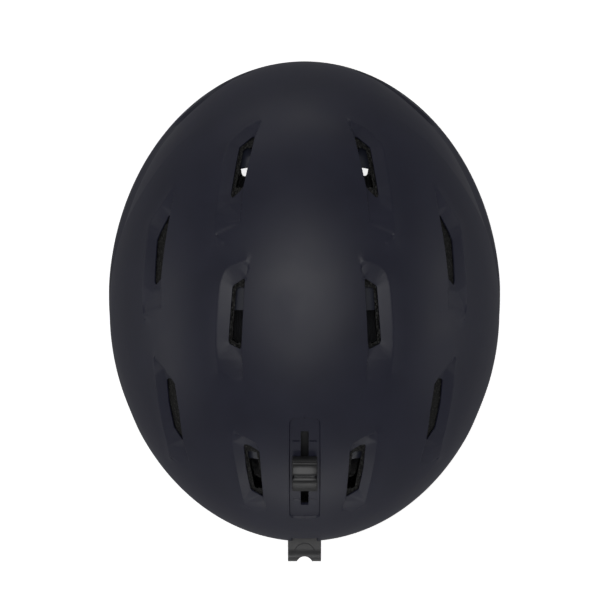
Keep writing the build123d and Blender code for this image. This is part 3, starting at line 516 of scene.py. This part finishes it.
class Channel:
    """One vent's dished channel: its outlines in the flat plan, and its depth as a coarse surface."""

    def __init__(self, crest, step, drop, hole, fold, end):
        flat_step = [unroll(*p) for p in step]
        self.crest = curve([unroll(*p) for p in crest])
        self.step = straight(flat_step)
        outer = [unroll(*p, inset=HOLE_DEPTH) for p in hole]
        inner = [p for p in moved_out(self.step, HOLE_INNER) if outer[0].y + 1.0 < p.y < outer[-1].y - 1.0]
        self.hole = rounded([*outer, *reversed(inner[::6])], HOLE_ROUND)
        self.outline = [*self.crest, unroll(*end), *reversed(self.step)]
        drops = [(p.y, d) for p, d in zip(flat_step, drop)]
        self.treads = []
        heights = [(p, -CREST_RISE) for p in self.crest[::3]] + [(p, 0.0) for p in self.step[::3]]
        heights += [(unroll(*end), 0.0), (self.crest[-1], 0.0), (self.crest[0], 0.0), (self.step[-1], 0.0)]
        for out, share in STEP_ROUND:
            tread = moved_out(self.step, out)[2:-2]
            self.treads.append(tread)
            heights += [(p, share * table(drops, p.y)) for p in tread[::2]]
        heights += [(p, HOLE_DEPTH) for p in self.hole[::2]]
        self.middle = sum(self.hole, Vector((0, 0))) / len(self.hole)
        self.folds = []
        if len(fold) > 1:
            self.folds = [straight([unroll(x, y) for x, y, _ in fold])]
        heights += [(unroll(x, y), depth) for x, y, depth in fold]
        points = [p for p, _ in heights]
        corners, _, faces, origin, _, _ = delaunay_2d_cdt(points, [], [], 0, 1e-6)
        surface = [Vector((c.x, c.y, heights[origin[i][0]][1])) for i, c in enumerate(corners)]
        self.tree = BVHTree.FromPolygons(surface, [tuple(face) for face in faces])

    def lines(self):
        hole = [*self.hole, self.hole[0]]
        return [self.crest, self.step, hole, *self.treads, *self.folds]

    def away(self, point):
        return hypot(point[0] - self.middle.x, (point[1] - self.middle.y) * 0.5)

    def depth(self, point):
        hit = self.tree.ray_cast(Vector((point[0], point[1], 50.0)), Vector((0, 0, -1)))
        return hit[0].z if hit[0] else 0.0


channels = [Channel(**vent) for vent in VENTS.values()]


# ---------------------------------------------------------------- upper shell
def smooth(piece, angle=38.0):
    piece.data.shade_smooth()
    piece.data.set_sharp_from_angle(angle=radians(angle))


def linked(name, data):
    """A new object in the scene, with its mesh, light or camera."""
    piece = bpy.data.objects.new(name, data)
    bpy.context.collection.objects.link(piece)
    return piece


def make_piece(name, corners, faces, *materials):
    mesh = bpy.data.meshes.new(name)
    mesh.from_pydata(corners, [], faces)
    mesh.validate()
    piece = linked(name, mesh)
    for material in materials:
        mesh.materials.append(material)
    return piece


def skin(first, rings, size):
    """Quads that join rings of corners, each ring closed."""
    faces = []
    for i in range(rings - 1):
        for k in range(size):
            a, b = first + i * size + k, first + i * size + (k + 1) % size
            faces.append((a, b, b + size, a + size))
    return faces


def mesh_tree(mesh):
    return BVHTree.FromPolygons([v.co for v in mesh.vertices], [tuple(p.vertices) for p in mesh.polygons])


def flat_rectangle(half_width, front, back):
    sides = (-half_width, half_width)
    return [*(unroll(x, front) for x in sides), *(unroll(x, back) for x in reversed(sides))]


def mark(y, half, gap, reach, radius):
    """The outline of a short mark beside the slot."""
    close = SLOT[0] + gap
    return rounded([unroll(close, y - half), unroll(reach, y - half), unroll(reach, y + half),
                    unroll(close, y + half)], radius, 0.4)


NOTCH = (10.7, 24.0)  # half width, top
NOTCH_FOOT = 300.0  # past the rim in the flat plan
FOOT_INSET = 0.4  # the panel's wall leans in by this much down to its floor
ON_LINE = 0.02  # a corner this close to an outline is on it
VALLEY_TOP = 62.0  # no part of the valley is higher
LONGEST_EDGE = 12.0
# Spacing of each grid of plan points, and how near and how far from a line it is used.
GRIDS = ((0.95, 0.0, 2.6), (1.9, 2.6, 7.5), (3.4, 7.5, 1e9))
BOWL_GAP = 0.43  # nearest a grid point in a channel comes to a line


def upper_shell_plan():
    """Triangles of the shell's left half in the flat plan, and the outlines that shape them."""
    turns = [radians(t) for t in np.linspace(0, 180, 361)]
    partings = [line_height(PARTING, turn) for turn in turns]
    rim = [on_side(turn, z) for turn, z in zip(turns, partings)]
    crease_turns = np.arange(CREASE[0][0], CREASE[-1][0] + 0.1, 0.5)
    crease = [on_side(radians(t), spline_table(CREASE, t)) for t in crease_turns]
    half, notch_top = NOTCH
    top_y = unroll(0, LONG, notch_top).y
    notch = rounded([Vector((-half, top_y)), Vector((half, top_y)), Vector((half, NOTCH_FOOT)),
                     Vector((-half, NOTCH_FOOT))], 2.5)
    panel = rounded(flat_rectangle(*PANEL), 4.0)
    half, front, back = PANEL
    panel_foot = rounded(flat_rectangle(half - FOOT_INSET, front + FOOT_INSET, back - FOOT_INSET), 3.7)
    slot = rounded(flat_rectangle(*SLOT), 0.8)
    marks, mark_feet = [], []
    for y, reach in MARKS:
        marks.append(mark(y, 0.5, 0.6, reach, 0.2))
        mark_feet.append(mark(y, 0.3, 0.75, reach - 0.15, 0.1))
    runs = [rim, crease]
    for loop in (notch, panel, panel_foot, slot, *marks, *mark_feet):
        runs.append([*loop, loop[0]])
    for channel in channels:
        runs += channel.lines()
    runs.append(straight([rim[0], rim[-1]], 2.0))

    spans = []
    for size, nearest, furthest in GRIDS:
        across = np.arange(size / 2, 185, size)
        along = np.arange(-240, 240, size * 0.866)
        grid = np.array([(x + (i % 2) * size / 2, y) for i, y in enumerate(along) for x in across])
        grid = grid[inside(rim, grid)]
        gap = near(runs, grid)
        keep = (gap > max(nearest, size * 0.45)) & (gap <= furthest)
        spans.append((grid, keep, gap))
    points, edges = [], []
    for level, (grid, keep, gap) in enumerate(spans):
        dished = np.zeros(len(grid), dtype=bool)
        for channel in channels:
            dished |= inside(channel.outline, grid)
        if level == 0:
            keep = keep | (dished & (gap > BOWL_GAP))
        else:
            keep = keep & ~dished
        points += [Vector(p) for p in grid[keep]]
    for run in runs:
        run = [p for p in run if p.x > -0.01]
        first = len(points)
        points += run
        edges += [(first + i, first + i + 1) for i in range(len(run) - 1)
                  if (run[i] - run[i + 1]).length < LONGEST_EDGE]
    corners, _, faces, _, _, _ = delaunay_2d_cdt(points, edges, [], 0, 1e-4)
    corners = np.array([tuple(c) for c in corners])
    faces = np.array([tuple(face) for face in faces if len(face) == 3])
    middles = corners[faces].mean(axis=1)
    keep = inside(rim, middles) & (middles[:, 0] > 0) & ~inside(notch, middles) & ~inside(slot, middles)
    for channel in channels:
        keep &= ~inside(channel.hole, middles)
    shapes = dict(panel_foot=panel_foot, mark_feet=mark_feet, partings=list(zip(turns, partings)))
    return corners, faces[keep], shapes


def within(outline, run, corners):
    """Which corners lie inside an outline or on a run."""
    return inside(outline, corners) | (distance([run], corners) < ON_LINE)


def shell_depths(corners, shapes):
    """How deep each corner lies under the plain egg."""
    depths = np.zeros(len(corners))
    panel_foot = within(shapes["panel_foot"], shapes["panel_foot"], corners)
    depths[panel_foot] = PANEL_DEPTH
    for foot in shapes["mark_feet"]:
        depths[within(foot, foot, corners)] = PANEL_DEPTH + MARK_DEPTH
    gaps = distance([channel.crest for channel in channels], corners)
    bowls = [within(channel.outline, [*channel.hole, channel.hole[0]], corners) for channel in channels]
    for i, (x, y) in enumerate(corners):
        for bowl, channel in zip(bowls, channels):
            if bowl[i]:
                depths[i] = channel.depth((x, y))
                break
        else:
            if gaps[i] < CREST_SKIRT and not panel_foot[i]:
                closest = min(channels, key=lambda channel: channel.away((x, y)))
                if beyond(closest, x, y):
                    depths[i] -= CREST_RISE * (1 - gaps[i] / CREST_SKIRT) ** 2
        u, v = x / WIDE, y / LONG
        angle = hypot(u, v)
        z = cos(angle) * (UP if angle < pi / 2 else DOWN)
        turn = atan2(WIDE * sin(angle) * u / max(angle, 1e-9), -LONG * sin(angle) * v / max(angle, 1e-9))
        if z < VALLEY_TOP:
            depths[i] += valley(turn, z, table(shapes["partings"], turn))
    return depths


def beyond(channel, x, y):
    """Whether a place is on the outer side of a channel's crest, not past its step."""
    return x > min(channel.step, key=lambda p: (p.x - x) ** 2 + (p.y - y) ** 2).x


def solid_from_plan(name, corners, faces, outer, inner):
    """A closed wall between two insets over a flat plan, mirrored to the wearer's right."""
    count = len(corners)
    places = [egg_point(x / WIDE, y / LONG, d) for (x, y), d in zip(corners, outer)]
    places += [egg_point(x / WIDE, y / LONG, d) for (x, y), d in zip(corners, inner)]
    shape = bmesh.new()
    rows = [shape.verts.new(p) for p in places]
    for a, b, c in faces:
        shape.faces.new((rows[a], rows[b], rows[c]))
        shape.faces.new((rows[c + count], rows[b + count], rows[a + count]))
    sides = {}
    for a, b, c in faces:
        for start, end in ((a, b), (b, c), (c, a)):
            if (end, start) in sides:
                del sides[(end, start)]
            else:
                sides[(start, end)] = True
    for start, end in sides:
        if corners[start][0] < 1e-3 and corners[end][0] < 1e-3:
            continue
        shape.faces.new((rows[end], rows[start], rows[start + count], rows[end + count]))
    loose = [v for v in shape.verts if not v.link_faces]
    bmesh.ops.delete(shape, geom=loose, context="VERTS")
    copy = bmesh.ops.duplicate(shape, geom=shape.verts[:] + shape.edges[:] + shape.faces[:])
    turned = [g for g in copy["geom"] if isinstance(g, bmesh.types.BMVert)]
    for v in turned:
        v.co.x = -v.co.x
    bmesh.ops.reverse_faces(shape, faces=[g for g in copy["geom"] if isinstance(g, bmesh.types.BMFace)])
    seam = [v for v in shape.verts if abs(v.co.x) < 2e-6]
    for v in seam:
        v.co.x = 0.0
    bmesh.ops.remove_doubles(shape, verts=seam, dist=1e-6)
    bmesh.ops.recalc_face_normals(shape, faces=shape.faces[:])
    mesh = bpy.data.meshes.new(name)
    shape.to_mesh(mesh)
    shape.free()
    return linked(name, mesh)


plan, plan_faces, plan_shapes = upper_shell_plan()
outer_depths = shell_depths(plan, plan_shapes)
inner_depths = np.maximum(UPPER_WALL, outer_depths + 0.5)
upper_shell = solid_from_plan("upper_shell_moulded", plan, plan_faces, outer_depths, inner_depths)
dress(upper_shell, shell_paint)
smooth(upper_shell, 32)
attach(upper_shell, "helmet")
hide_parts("upper_shell")


# ---------------------------------------------------------------- lower shell
BROW_SLOT = [(12, 0.0), (15, 1.0), (33, 1.0), (37, 0.0)]  # by azimuth
# Round the lower edge and up the inside: height over the edge line, and inset from the egg.
LIP_SECTION = [(0.5, 0.45), (-0.1, 1.1), (-0.4, 2.2), (-0.4, 7.0), (-0.1, 8.5), (0.5, LIP), (1.3, LIP),
               (1.3, LOWER_WALL_IN + 0.4), (3.0, LOWER_WALL_IN)]


def lower_shell_mesh():
    """Rings from the parting line down to the edge, in under the lip and up the inside."""
    turns = [radians(t) for t in np.arange(0, 360, 0.75)]
    profile = []  # for each azimuth, (height, inset) round the section
    share = [0, 0.04, 0.08, 0.13, 0.18, 0.24, 0.3, 0.37, 0.45, 0.54, 0.63, 0.72, 0.81, 0.9, 0.96]
    for turn in turns:
        side = degrees(turn if turn <= pi else 2 * pi - turn)
        top = line_height(PARTING, radians(side))
        low = line_height(EDGE, radians(side))
        dip = table(VALLEY_DEPTH, side)
        section = [(top + 6.5, 4.7), (top + 6.5, 3.0)]
        for s in share:
            z = top + (low - top) * s
            under = top - z
            rise = table([(0, dip + 0.75), (4, dip * 0.8 + 0.5), (11, 0.35), (60, 0.2)], under, smooth=True)
            groove = table(BROW_SLOT, side) * table([(3.0, 0.0), (4.2, 1.0), (7.6, 1.0), (9.0, 0.0)], under)
            section.append((z, rise + 2.6 * groove))
        section += [(low + up, inset) for up, inset in LIP_SECTION]
        profile.append([(turn, z, inset) for z, inset in section])
    corners = []
    for section in profile:
        for turn, z, inset in section:
            spot = on_side(turn, z)
            corners.append(egg_point(spot.x / WIDE, spot.y / LONG, inset))
    size, rings = len(profile[0]), len(profile)
    faces = []
    for i in range(rings):
        for k in range(size):
            a, b = i * size + k, i * size + (k + 1) % size
            c, d = (i + 1) % rings * size + (k + 1) % size, (i + 1) % rings * size + k
            faces.append((a, b, c, d))
    return corners, faces


lower_shell = make_piece("lower_shell_moulded", *lower_shell_mesh(), lower_paint)
smooth(lower_shell, 40)
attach(lower_shell, "helmet")
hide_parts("lower_shell")

# ---------------------------------------------------------------- vent slider knob and goggle clip
# Along the knob, front to back: y, half width, height over the panel.
KNOB = [(85.4, 6.2, 0.9), (85.6, 6.6, 2.6), (86.0, 6.75, 3.5), (86.6, 6.75, 3.55), (87.1, 6.75, 3.0),
        (88.2, 6.75, 2.5), (89.4, 6.75, 2.8), (90.4, 6.75, 3.8), (91.2, 6.75, 5.0), (91.8, 6.75, 5.75),
        (92.3, 6.75, 5.9), (92.6, 6.7, 5.5), (92.8, 6.0, 3.2), (93.2, 5.8, 3.1), (93.5, 5.8, 4.1),
        (94.3, 5.8, 4.15), (94.6, 5.8, 3.0), (95.7, 5.8, 2.95), (96.1, 6.5, 3.8), (96.6, 6.8, 4.3),
        (98.2, 6.8, 4.4), (101.0, 6.8, 4.0), (103.0, 6.7, 3.2), (103.8, 6.55, 2.4), (104.1, 6.3, 0.9)]
KNOB_FOOT = 0.35
KNOB_EDGE = 0.55


def knob_mesh():
    corners, faces = [], []
    for y, half, height in KNOB:
        edge = min(KNOB_EDGE, (height - KNOB_FOOT) * 0.8)
        row = [(-half, KNOB_FOOT), (-half, height - edge), (-half + edge * 0.3, height - edge * 0.3)]
        row += [(-half + edge, height), (-half * 0.5, height + 0.04), (0.0, height + 0.06)]
        row += [(-x, z) for x, z in reversed(row[:-1])]
        for x, z in row:
            inset = PANEL_DEPTH - z
            spot = unroll(x, y)
            corners.append(egg_point(spot.x / WIDE, spot.y / LONG, inset))
    size = 11
    for i in range(len(KNOB) - 1):
        for k in range(size):
            a, b = i * size + k, i * size + (k + 1) % size
            faces.append((a, a + size, b + size, b))
    faces.append(tuple(range(size)))
    faces.append(tuple(reversed(range(len(corners) - size, len(corners)))))
    return corners, faces


knob = make_piece("vent_slider_grip", *knob_mesh(), knob_plastic)
smooth(knob, 45)
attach(knob, "vent_shuttle")
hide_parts("vent_slider_knob")

EMBOSS_WIDTH, EMBOSS_TOP, EMBOSS_LOW, EMBOSS_LINE = 5.9, 138.6, 144.6, 0.28  # half width, y, y, line radius


def emboss_mesh():
    """A fine raised arch on the clip's top, laid on its surface."""
    tree = mesh_tree(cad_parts["goggle_clip"].data)
    path = []
    for i in range(41):
        turn = pi * i / 40
        x = EMBOSS_WIDTH * cos(turn)
        y = EMBOSS_LOW + (EMBOSS_TOP - EMBOSS_LOW) * sin(turn)
        start = SHELL_CENTRE + Vector((x, y, 60)) * MM
        hit = tree.ray_cast(start, Vector((0, 0, -1)))[0]
        if hit:
            path.append(hit)
    corners = []
    for i, point in enumerate(path):
        ahead = (path[min(i + 1, len(path) - 1)] - path[max(i - 1, 0)]).normalized()
        across = ahead.cross(Vector((0, 0, 1))).normalized()
        up = across.cross(ahead)
        for k in range(8):
            turn = 2 * pi * k / 8
            corners.append(point + (across * cos(turn) + up * sin(turn) * 0.7) * EMBOSS_LINE * MM)
    faces = skin(0, len(path), 8)
    faces += [tuple(reversed(range(8))), tuple(range(len(corners) - 8, len(corners)))]
    return corners, faces


emboss = make_piece("goggle_clip_arch_line", *emboss_mesh(), clip_plastic)
smooth(emboss, 60)
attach(emboss, "goggle_clip")


# ---------------------------------------------------------------- sewn pads
CLOTH_FRAMES = 20
SEAM_OUTLINE = [(-31.0, -38.0), (-32.0, -65.0), (-15.0, -105.0), (33.0, -105.0), (50.0, -65.0),
                (50.0, -47.0)]
SEAM_CORNER = 12.0
OUTSIDE = 130.0  # sideways, clear of every ear cover
SEAM_WIDTH = 3.0  # the fabric sinks this far each side of the seam
CHANNEL_WIDTH, CHANNEL_DEPTH = 0.0035, 0.0012


def apply_modifiers(piece):
    graph = bpy.context.evaluated_depsgraph_get()
    mesh = bpy.data.meshes.new_from_object(piece.evaluated_get(graph))
    piece.modifiers.clear()
    piece.data = mesh


def remesh(piece, voxel):
    modifier = piece.modifiers.new("voxels", "REMESH")
    modifier.mode = "VOXEL"
    modifier.voxel_size = voxel
    apply_modifiers(piece)


def shift_along_normals(piece, amount):
    for vertex, normal in zip(piece.data.vertices, [v.normal.copy() for v in piece.data.vertices]):
        vertex.co += normal * amount


def inflate(piece, cap, pressure=4.0):
    """Lets the fabric swell by cloth simulation, and stops each point at cap from where it began."""
    before = [v.co.copy() for v in piece.data.vertices]
    cloth = piece.modifiers.new("cloth", "CLOTH")
    cloth.settings.quality = 4
    cloth.settings.tension_stiffness = 12
    cloth.settings.bending_stiffness = 0.4
    cloth.settings.use_pressure = True
    cloth.settings.uniform_pressure_force = pressure
    cloth.settings.effector_weights.gravity = 0
    cloth.collision_settings.use_collision = False
    for number in range(1, CLOTH_FRAMES + 1):
        bpy.context.scene.frame_set(number)
    graph = bpy.context.evaluated_depsgraph_get()
    swollen = [v.co.copy() for v in piece.evaluated_get(graph).data.vertices]
    piece.modifiers.clear()
    bpy.context.scene.frame_set(1)
    for vertex, start, end in zip(piece.data.vertices, before, swollen):
        move = end - start
        vertex.co = start + move * min(1.0, cap / max(move.length, 1e-9))


def subdivide(piece, levels=1):
    modifier = piece.modifiers.new("smooth", "SUBSURF")
    modifier.levels = levels
    modifier.render_levels = levels
    apply_modifiers(piece)


def quilt(piece, lines, depth, width):
    """Sewn channels: the face sinks along each line, a plane given by a point and its normal."""
    for vertex, normal in zip(piece.data.vertices, [v.normal.copy() for v in piece.data.vertices]):
        for point, across in lines:
            away = abs((vertex.co - Vector(point)).dot(Vector(across)))
            if away < width:
                vertex.co -= normal * depth * (0.5 + 0.5 * cos(pi * away / width))


def sewn_pad(node, fabric=pad_fleece, body="helmet", shrink=0.0007, cap=0.0012,
             voxel=0.004, channels_at=()):
    piece = linked(f"{node}_sewn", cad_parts[node].data.copy())
    shift_along_normals(piece, -shrink)
    remesh(piece, voxel)
    inflate(piece, cap)
    subdivide(piece)
    quilt(piece, channels_at, CHANNEL_DEPTH, CHANNEL_WIDTH)
    dress(piece, fabric)
    piece.data.shade_smooth()
    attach(piece, body)
    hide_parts(node)
    return piece


def sink_inside(cover, depth):
    """Presses the fabric down along the seam round an ear cover's outer face."""
    seam_run = rounded(SEAM_OUTLINE, SEAM_CORNER, 1.0)
    seam_run.append(seam_run[0])
    vertices = cover.data.vertices
    flat = np.array([((v.co.y - SHELL_CENTRE.y) / MM, (v.co.z - SHELL_CENTRE.z) / MM) for v in vertices])
    away = near([seam_run], flat)
    for vertex, gap, normal in zip(vertices, away, [v.normal.copy() for v in vertices]):
        if gap < SEAM_WIDTH and abs(normal.x) > 0.5:
            vertex.co -= normal * depth * (0.5 + 0.5 * cos(pi * gap / SEAM_WIDTH))


def crossing(node, axis, shares):
    """Planes across a node's box at shares of its length along an axis."""
    low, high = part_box(node)
    across = Vector([1.0 if i == axis else 0.0 for i in range(3)])
    return [(low.lerp(high, share), across) for share in shares]


ear_covers = {}
sewn_pad("crown_pad", channels_at=crossing("crown_pad", 1, (0.25, 0.5, 0.75)))
sewn_pad("brow_pad", channels_at=crossing("brow_pad", 0, (0.2, 0.4, 0.6, 0.8)))
sewn_pad("rear_pad", channels_at=crossing("rear_pad", 0, (0.25, 0.5, 0.75)))
sewn_pad("nape_pad", voxel=0.0025, channels_at=crossing("nape_pad", 0, (0.33, 0.67)))
sewn_pad("chin_pad", voxel=0.0025, shrink=0.0003, cap=0.0008)
for side in ("left", "right"):
    sewn_pad(f"side_pad_{side}", channels_at=crossing(f"side_pad_{side}", 1, (0.33, 0.67)))
    sewn_pad(f"band_pad_{side}", body=f"fit_band_{side}", voxel=0.002, shrink=0.0003, cap=0.0006)
    sewn_pad(f"ear_pad_{side}", ear_fleece, shrink=0.0015, cap=0.0026)
    ear_covers[side] = sewn_pad(f"ear_cover_{side}", ear_knit, shrink=0.0006, cap=0.0016,
                                voxel=0.0025)
    sink_inside(ear_covers[side], 0.0009)


# ---------------------------------------------------------------- stitching on the ear covers
STITCH_LONG, STITCH_GAP, STITCH_THICK = 3.0, 1.5, 0.42
# Along a stitch: place in its length, lift and size, the last two as shares of its thickness.
STITCH_RINGS = [(-0.5, -0.5, 0.4), (-0.38, 0.1, 0.9), (-0.15, 0.45, 1.0), (0.15, 0.45, 1.0),
                (0.38, 0.1, 0.9), (0.5, -0.5, 0.4)]


def stitch(corners, faces, centre, ahead, up):
    """One sewn stitch: a thread that rises from the fabric and dips back in at both ends."""
    across = ahead.cross(up)
    first = len(corners)
    for along, lift, size in STITCH_RINGS:
        middle = centre + (ahead * along * STITCH_LONG + up * lift * STITCH_THICK) * MM
        for k in range(6):
            turn = 2 * pi * k / 6
            corners.append(middle + (across * cos(turn) + up * sin(turn)) * size * STITCH_THICK * MM)
    faces += skin(first, len(STITCH_RINGS), 6)
    faces.append(tuple(reversed(range(first, first + 6))))
    faces.append(tuple(range(len(corners) - 6, len(corners))))


def seam(name, cover, sign):
    """A row of stitches round an ear cover's outer face."""
    tree = mesh_tree(cover.data)
    path = rounded(SEAM_OUTLINE, SEAM_CORNER, 0.5)
    pitch = STITCH_LONG + STITCH_GAP
    corners, faces = [], []
    travelled = 0.0
    for start, end in zip(path, path[1:] + path[:1]):
        travelled += (end - start).length
        if travelled < pitch:
            continue
        travelled -= pitch
        origin = SHELL_CENTRE + Vector((sign * OUTSIDE, start.x, start.y)) * MM
        place_at, normal, _, _ = tree.ray_cast(origin, Vector((-sign, 0, 0)))
        if place_at is None:
            continue
        heading = Vector((0, end.x - start.x, end.y - start.y)).normalized()
        heading = (heading - normal * heading.dot(normal)).normalized()
        stitch(corners, faces, place_at, heading, normal)
    row = make_piece(name, corners, faces, thread)
    smooth(row, 60)
    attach(row, "helmet")


for cover_side, sign in (("left", 1), ("right", -1)):
    seam(f"ear_cover_{cover_side}_stitching", ear_covers[cover_side], sign)


# ---------------------------------------------------------------- webbing
WEB_WIDTH, WEB_WALL = 15.0, 1.3
RIB_PITCH, RIB_HEIGHT = 1.1, 0.10
SELVEDGE = 0.42  # the ribs stop here, as a share of the width from the middle
WEB_SECTION = [(-0.5, 0.35), (-0.485, 0.5), (-0.43, 0.5), (-0.41, 0.42), (-0.2, 0.44), (0.0, 0.44),
               (0.2, 0.44), (0.41, 0.42), (0.43, 0.5), (0.485, 0.5), (0.5, 0.35)]
WEB_SECTION += [(share, -height) for share, height in reversed(WEB_SECTION)]


def filleted(points, radii, step=0.55):
    """A path of straight runs and arcs in a plane, sampled evenly, in mm."""
    rows = [Vector(p) for p in points]
    out = [rows[0]]
    for before, corner, after, radius in zip(rows, rows[1:], rows[2:], radii):
        into, away = (corner - before).normalized(), (after - corner).normalized()
        turn = into.angle(away)
        cut = radius * abs(sin(turn / 2) / cos(turn / 2))
        start, end = corner - into * cut, corner + away * cut
        centre = corner + (away - into).normalized() * hypot(radius, cut)
        out.append(start)
        arms = (start - centre, end - centre)
        count = max(3, round(radius * turn / step))
        for i in range(1, count + 1):
            out.append(centre + arms[0].lerp(arms[1], i / count).normalized() * radius)
    out.append(rows[-1])
    dense = []
    for start, end in zip(out, out[1:]):
        count = max(1, round((end - start).length / step))
        dense += [start.lerp(end, i / count) for i in range(count)]
    return [*dense, out[-1]]


def ribbon(name, path, width_axis, body, node):
    """Webbing along a path in metres: cross ribs, thicker selvedges and closed ends."""
    corners = []
    travelled = 0.0
    for i, point in enumerate(path):
        ahead = (path[min(i + 1, len(path) - 1)] - path[max(i - 1, 0)]).normalized()
        face = ahead.cross(width_axis).normalized()
        if i:
            travelled += (point - path[i - 1]).length / MM
        rib = 1.0 + RIB_HEIGHT * sin(2 * pi * travelled / RIB_PITCH)
        for share, height in WEB_SECTION:
            lift = height * WEB_WALL * (rib if abs(share) < SELVEDGE else 1.0)
            corners.append(point + width_axis * share * WEB_WIDTH * MM + face * lift * MM)
    size = len(WEB_SECTION)
    faces = skin(0, len(path), size)
    faces.append(tuple(range(size)))
    faces.append(tuple(range(len(corners) - 1, len(corners) - 1 - size, -1)))
    piece = make_piece(name, corners, faces, strap_weave)
    smooth(piece, 50)
    if body:
        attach(piece, body)
    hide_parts(node)
    return piece


STRAP_X = 84.2
STRAP_STEP = 0.3
DIVIDER_TOP = -85.0
Y_STRAPS = {"front": ((-31.0, -16.0), -3.6), "rear": ((47.0, -20.0), 14.0)}
CHIN_Y = 5.0
CHIN_PATHS = {
    "left": ([(84.2, 15.0), (84.2, 0.65), (61.0, 0.65)], [9.0]),
    "right": ([(22.0, 7.0), (10.0, 7.0), (-8.0, 34.0), (-44.0, 34.0), (-62.0, 0.65), (-84.2, 0.65),
               (-84.2, 15.0)], [12.0, 16.0, 16.0, 10.0, 9.0]),
}
for side, sign in (("left", 1), ("right", -1)):
    for part, (top, low_y) in Y_STRAPS.items():
        high = SHELL_CENTRE + Vector((sign * STRAP_X, top[0], top[1])) * MM
        low = SHELL_CENTRE + Vector((sign * STRAP_X, low_y, DIVIDER_TOP)) * MM
        count = round((high - low).length / (STRAP_STEP * MM))
        run = [low.lerp(high, i / count) for i in range(count + 1)]
        ahead = (high - low).normalized()
        across = Vector((1, 0, 0)).cross(ahead).normalized()
        ribbon(f"strap_{part}_{side}_woven", run, across, "helmet", f"strap_{part}_{side}")
    points, radii = CHIN_PATHS[side]
    flat_run = filleted(points, radii, STRAP_STEP)
    run = [Vector((p.x * MM, SHELL_CENTRE.y + CHIN_Y * MM, p.y * MM)) for p in flat_run]
    body = "helmet" if side == "left" else None
    chin = ribbon(f"chin_strap_{side}_woven", run, Vector((0, 1, 0)), body, f"chin_strap_{side}")
    if not body:
        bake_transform(chin)

# ---------------------------------------------------------------- floor, light and camera
floor_paint = moulded("floor_paint", (0.93, 0.93, 0.93), 0.9, grain=60.0, spread=0.01)
FLOOR = -0.0004
floor_corners = [(-3, -3, FLOOR), (3, -3, FLOOR), (3, 3, FLOOR), (-3, 3, FLOOR)]
floor = make_piece("floor", floor_corners, [(0, 1, 2, 3)], floor_paint)
glow = principled(floor_paint)
glow.inputs["Emission Color"].default_value = (1, 1, 1, 1)
glow.inputs["Emission Strength"].default_value = 0.72
floor.visible_glossy = False  # the floor lights the helmet softly, and its sides don't mirror it

# A pale wall round the floor, so that low views don't look past its edge.
WALL_RADIUS, WALL_HEIGHT, WALL_SIDES = 2.9, 5.0, 64
ring = [(WALL_RADIUS * cos(t), WALL_RADIUS * sin(t))
        for t in (2 * pi * i / WALL_SIDES for i in range(WALL_SIDES))]
wall_corners = [(x, y, z) for z in (FLOOR, WALL_HEIGHT) for x, y in ring]
backdrop = make_piece("backdrop", wall_corners, skin(0, 2, WALL_SIDES), floor_paint)
backdrop.visible_diffuse = False  # the backdrop is only seen: it sends the helmet no light
backdrop.visible_glossy = False
backdrop.visible_shadow = False

world = bpy.data.worlds.new("studio")
world.use_nodes = True
world.node_tree.nodes["Background"].inputs["Color"].default_value = (1, 1, 1, 1)
world.node_tree.nodes["Background"].inputs["Strength"].default_value = 0.2
bpy.context.scene.world = world


LIT_POINT = Vector((0, 0, 0.1))
# Name, place, width and height, power.
SOFTBOXES = [("top_box", (0.1, -0.1, 1.8), (1.25, 1.25), 13),
             ("rear_box", (0.0, 1.8, 0.25), (1.8, 0.4), 6),
             ("front_box", (0.3, -1.8, 0.3), (1.6, 0.4), 3.5),
             ("left_box", (1.8, 0.2, 0.25), (1.4, 0.4), 3.5),
             ("right_box", (-1.8, 0.1, 0.25), (1.4, 0.4), 3)]
for name, spot, size, power in SOFTBOXES:
    light = bpy.data.lights.new(name, "AREA")
    light.shape = "RECTANGLE"
    light.size, light.size_y = size
    light.energy = power
    lamp = linked(name, light)
    lamp.location = spot
    lamp.rotation_euler = (LIT_POINT - Vector(spot)).to_track_quat("-Z", "Y").to_euler()

CAMERA_PLACE = (0.00258, -0.00707, 2.115)
lens = bpy.data.cameras.new("camera")
lens.sensor_width = 36.0
lens.lens = 209.4
camera = linked("camera", lens)
camera.location = CAMERA_PLACE
camera.rotation_euler = (0, 0, pi)
bpy.context.scene.camera = camera
bpy.context.scene.view_settings.view_transform = "Standard"
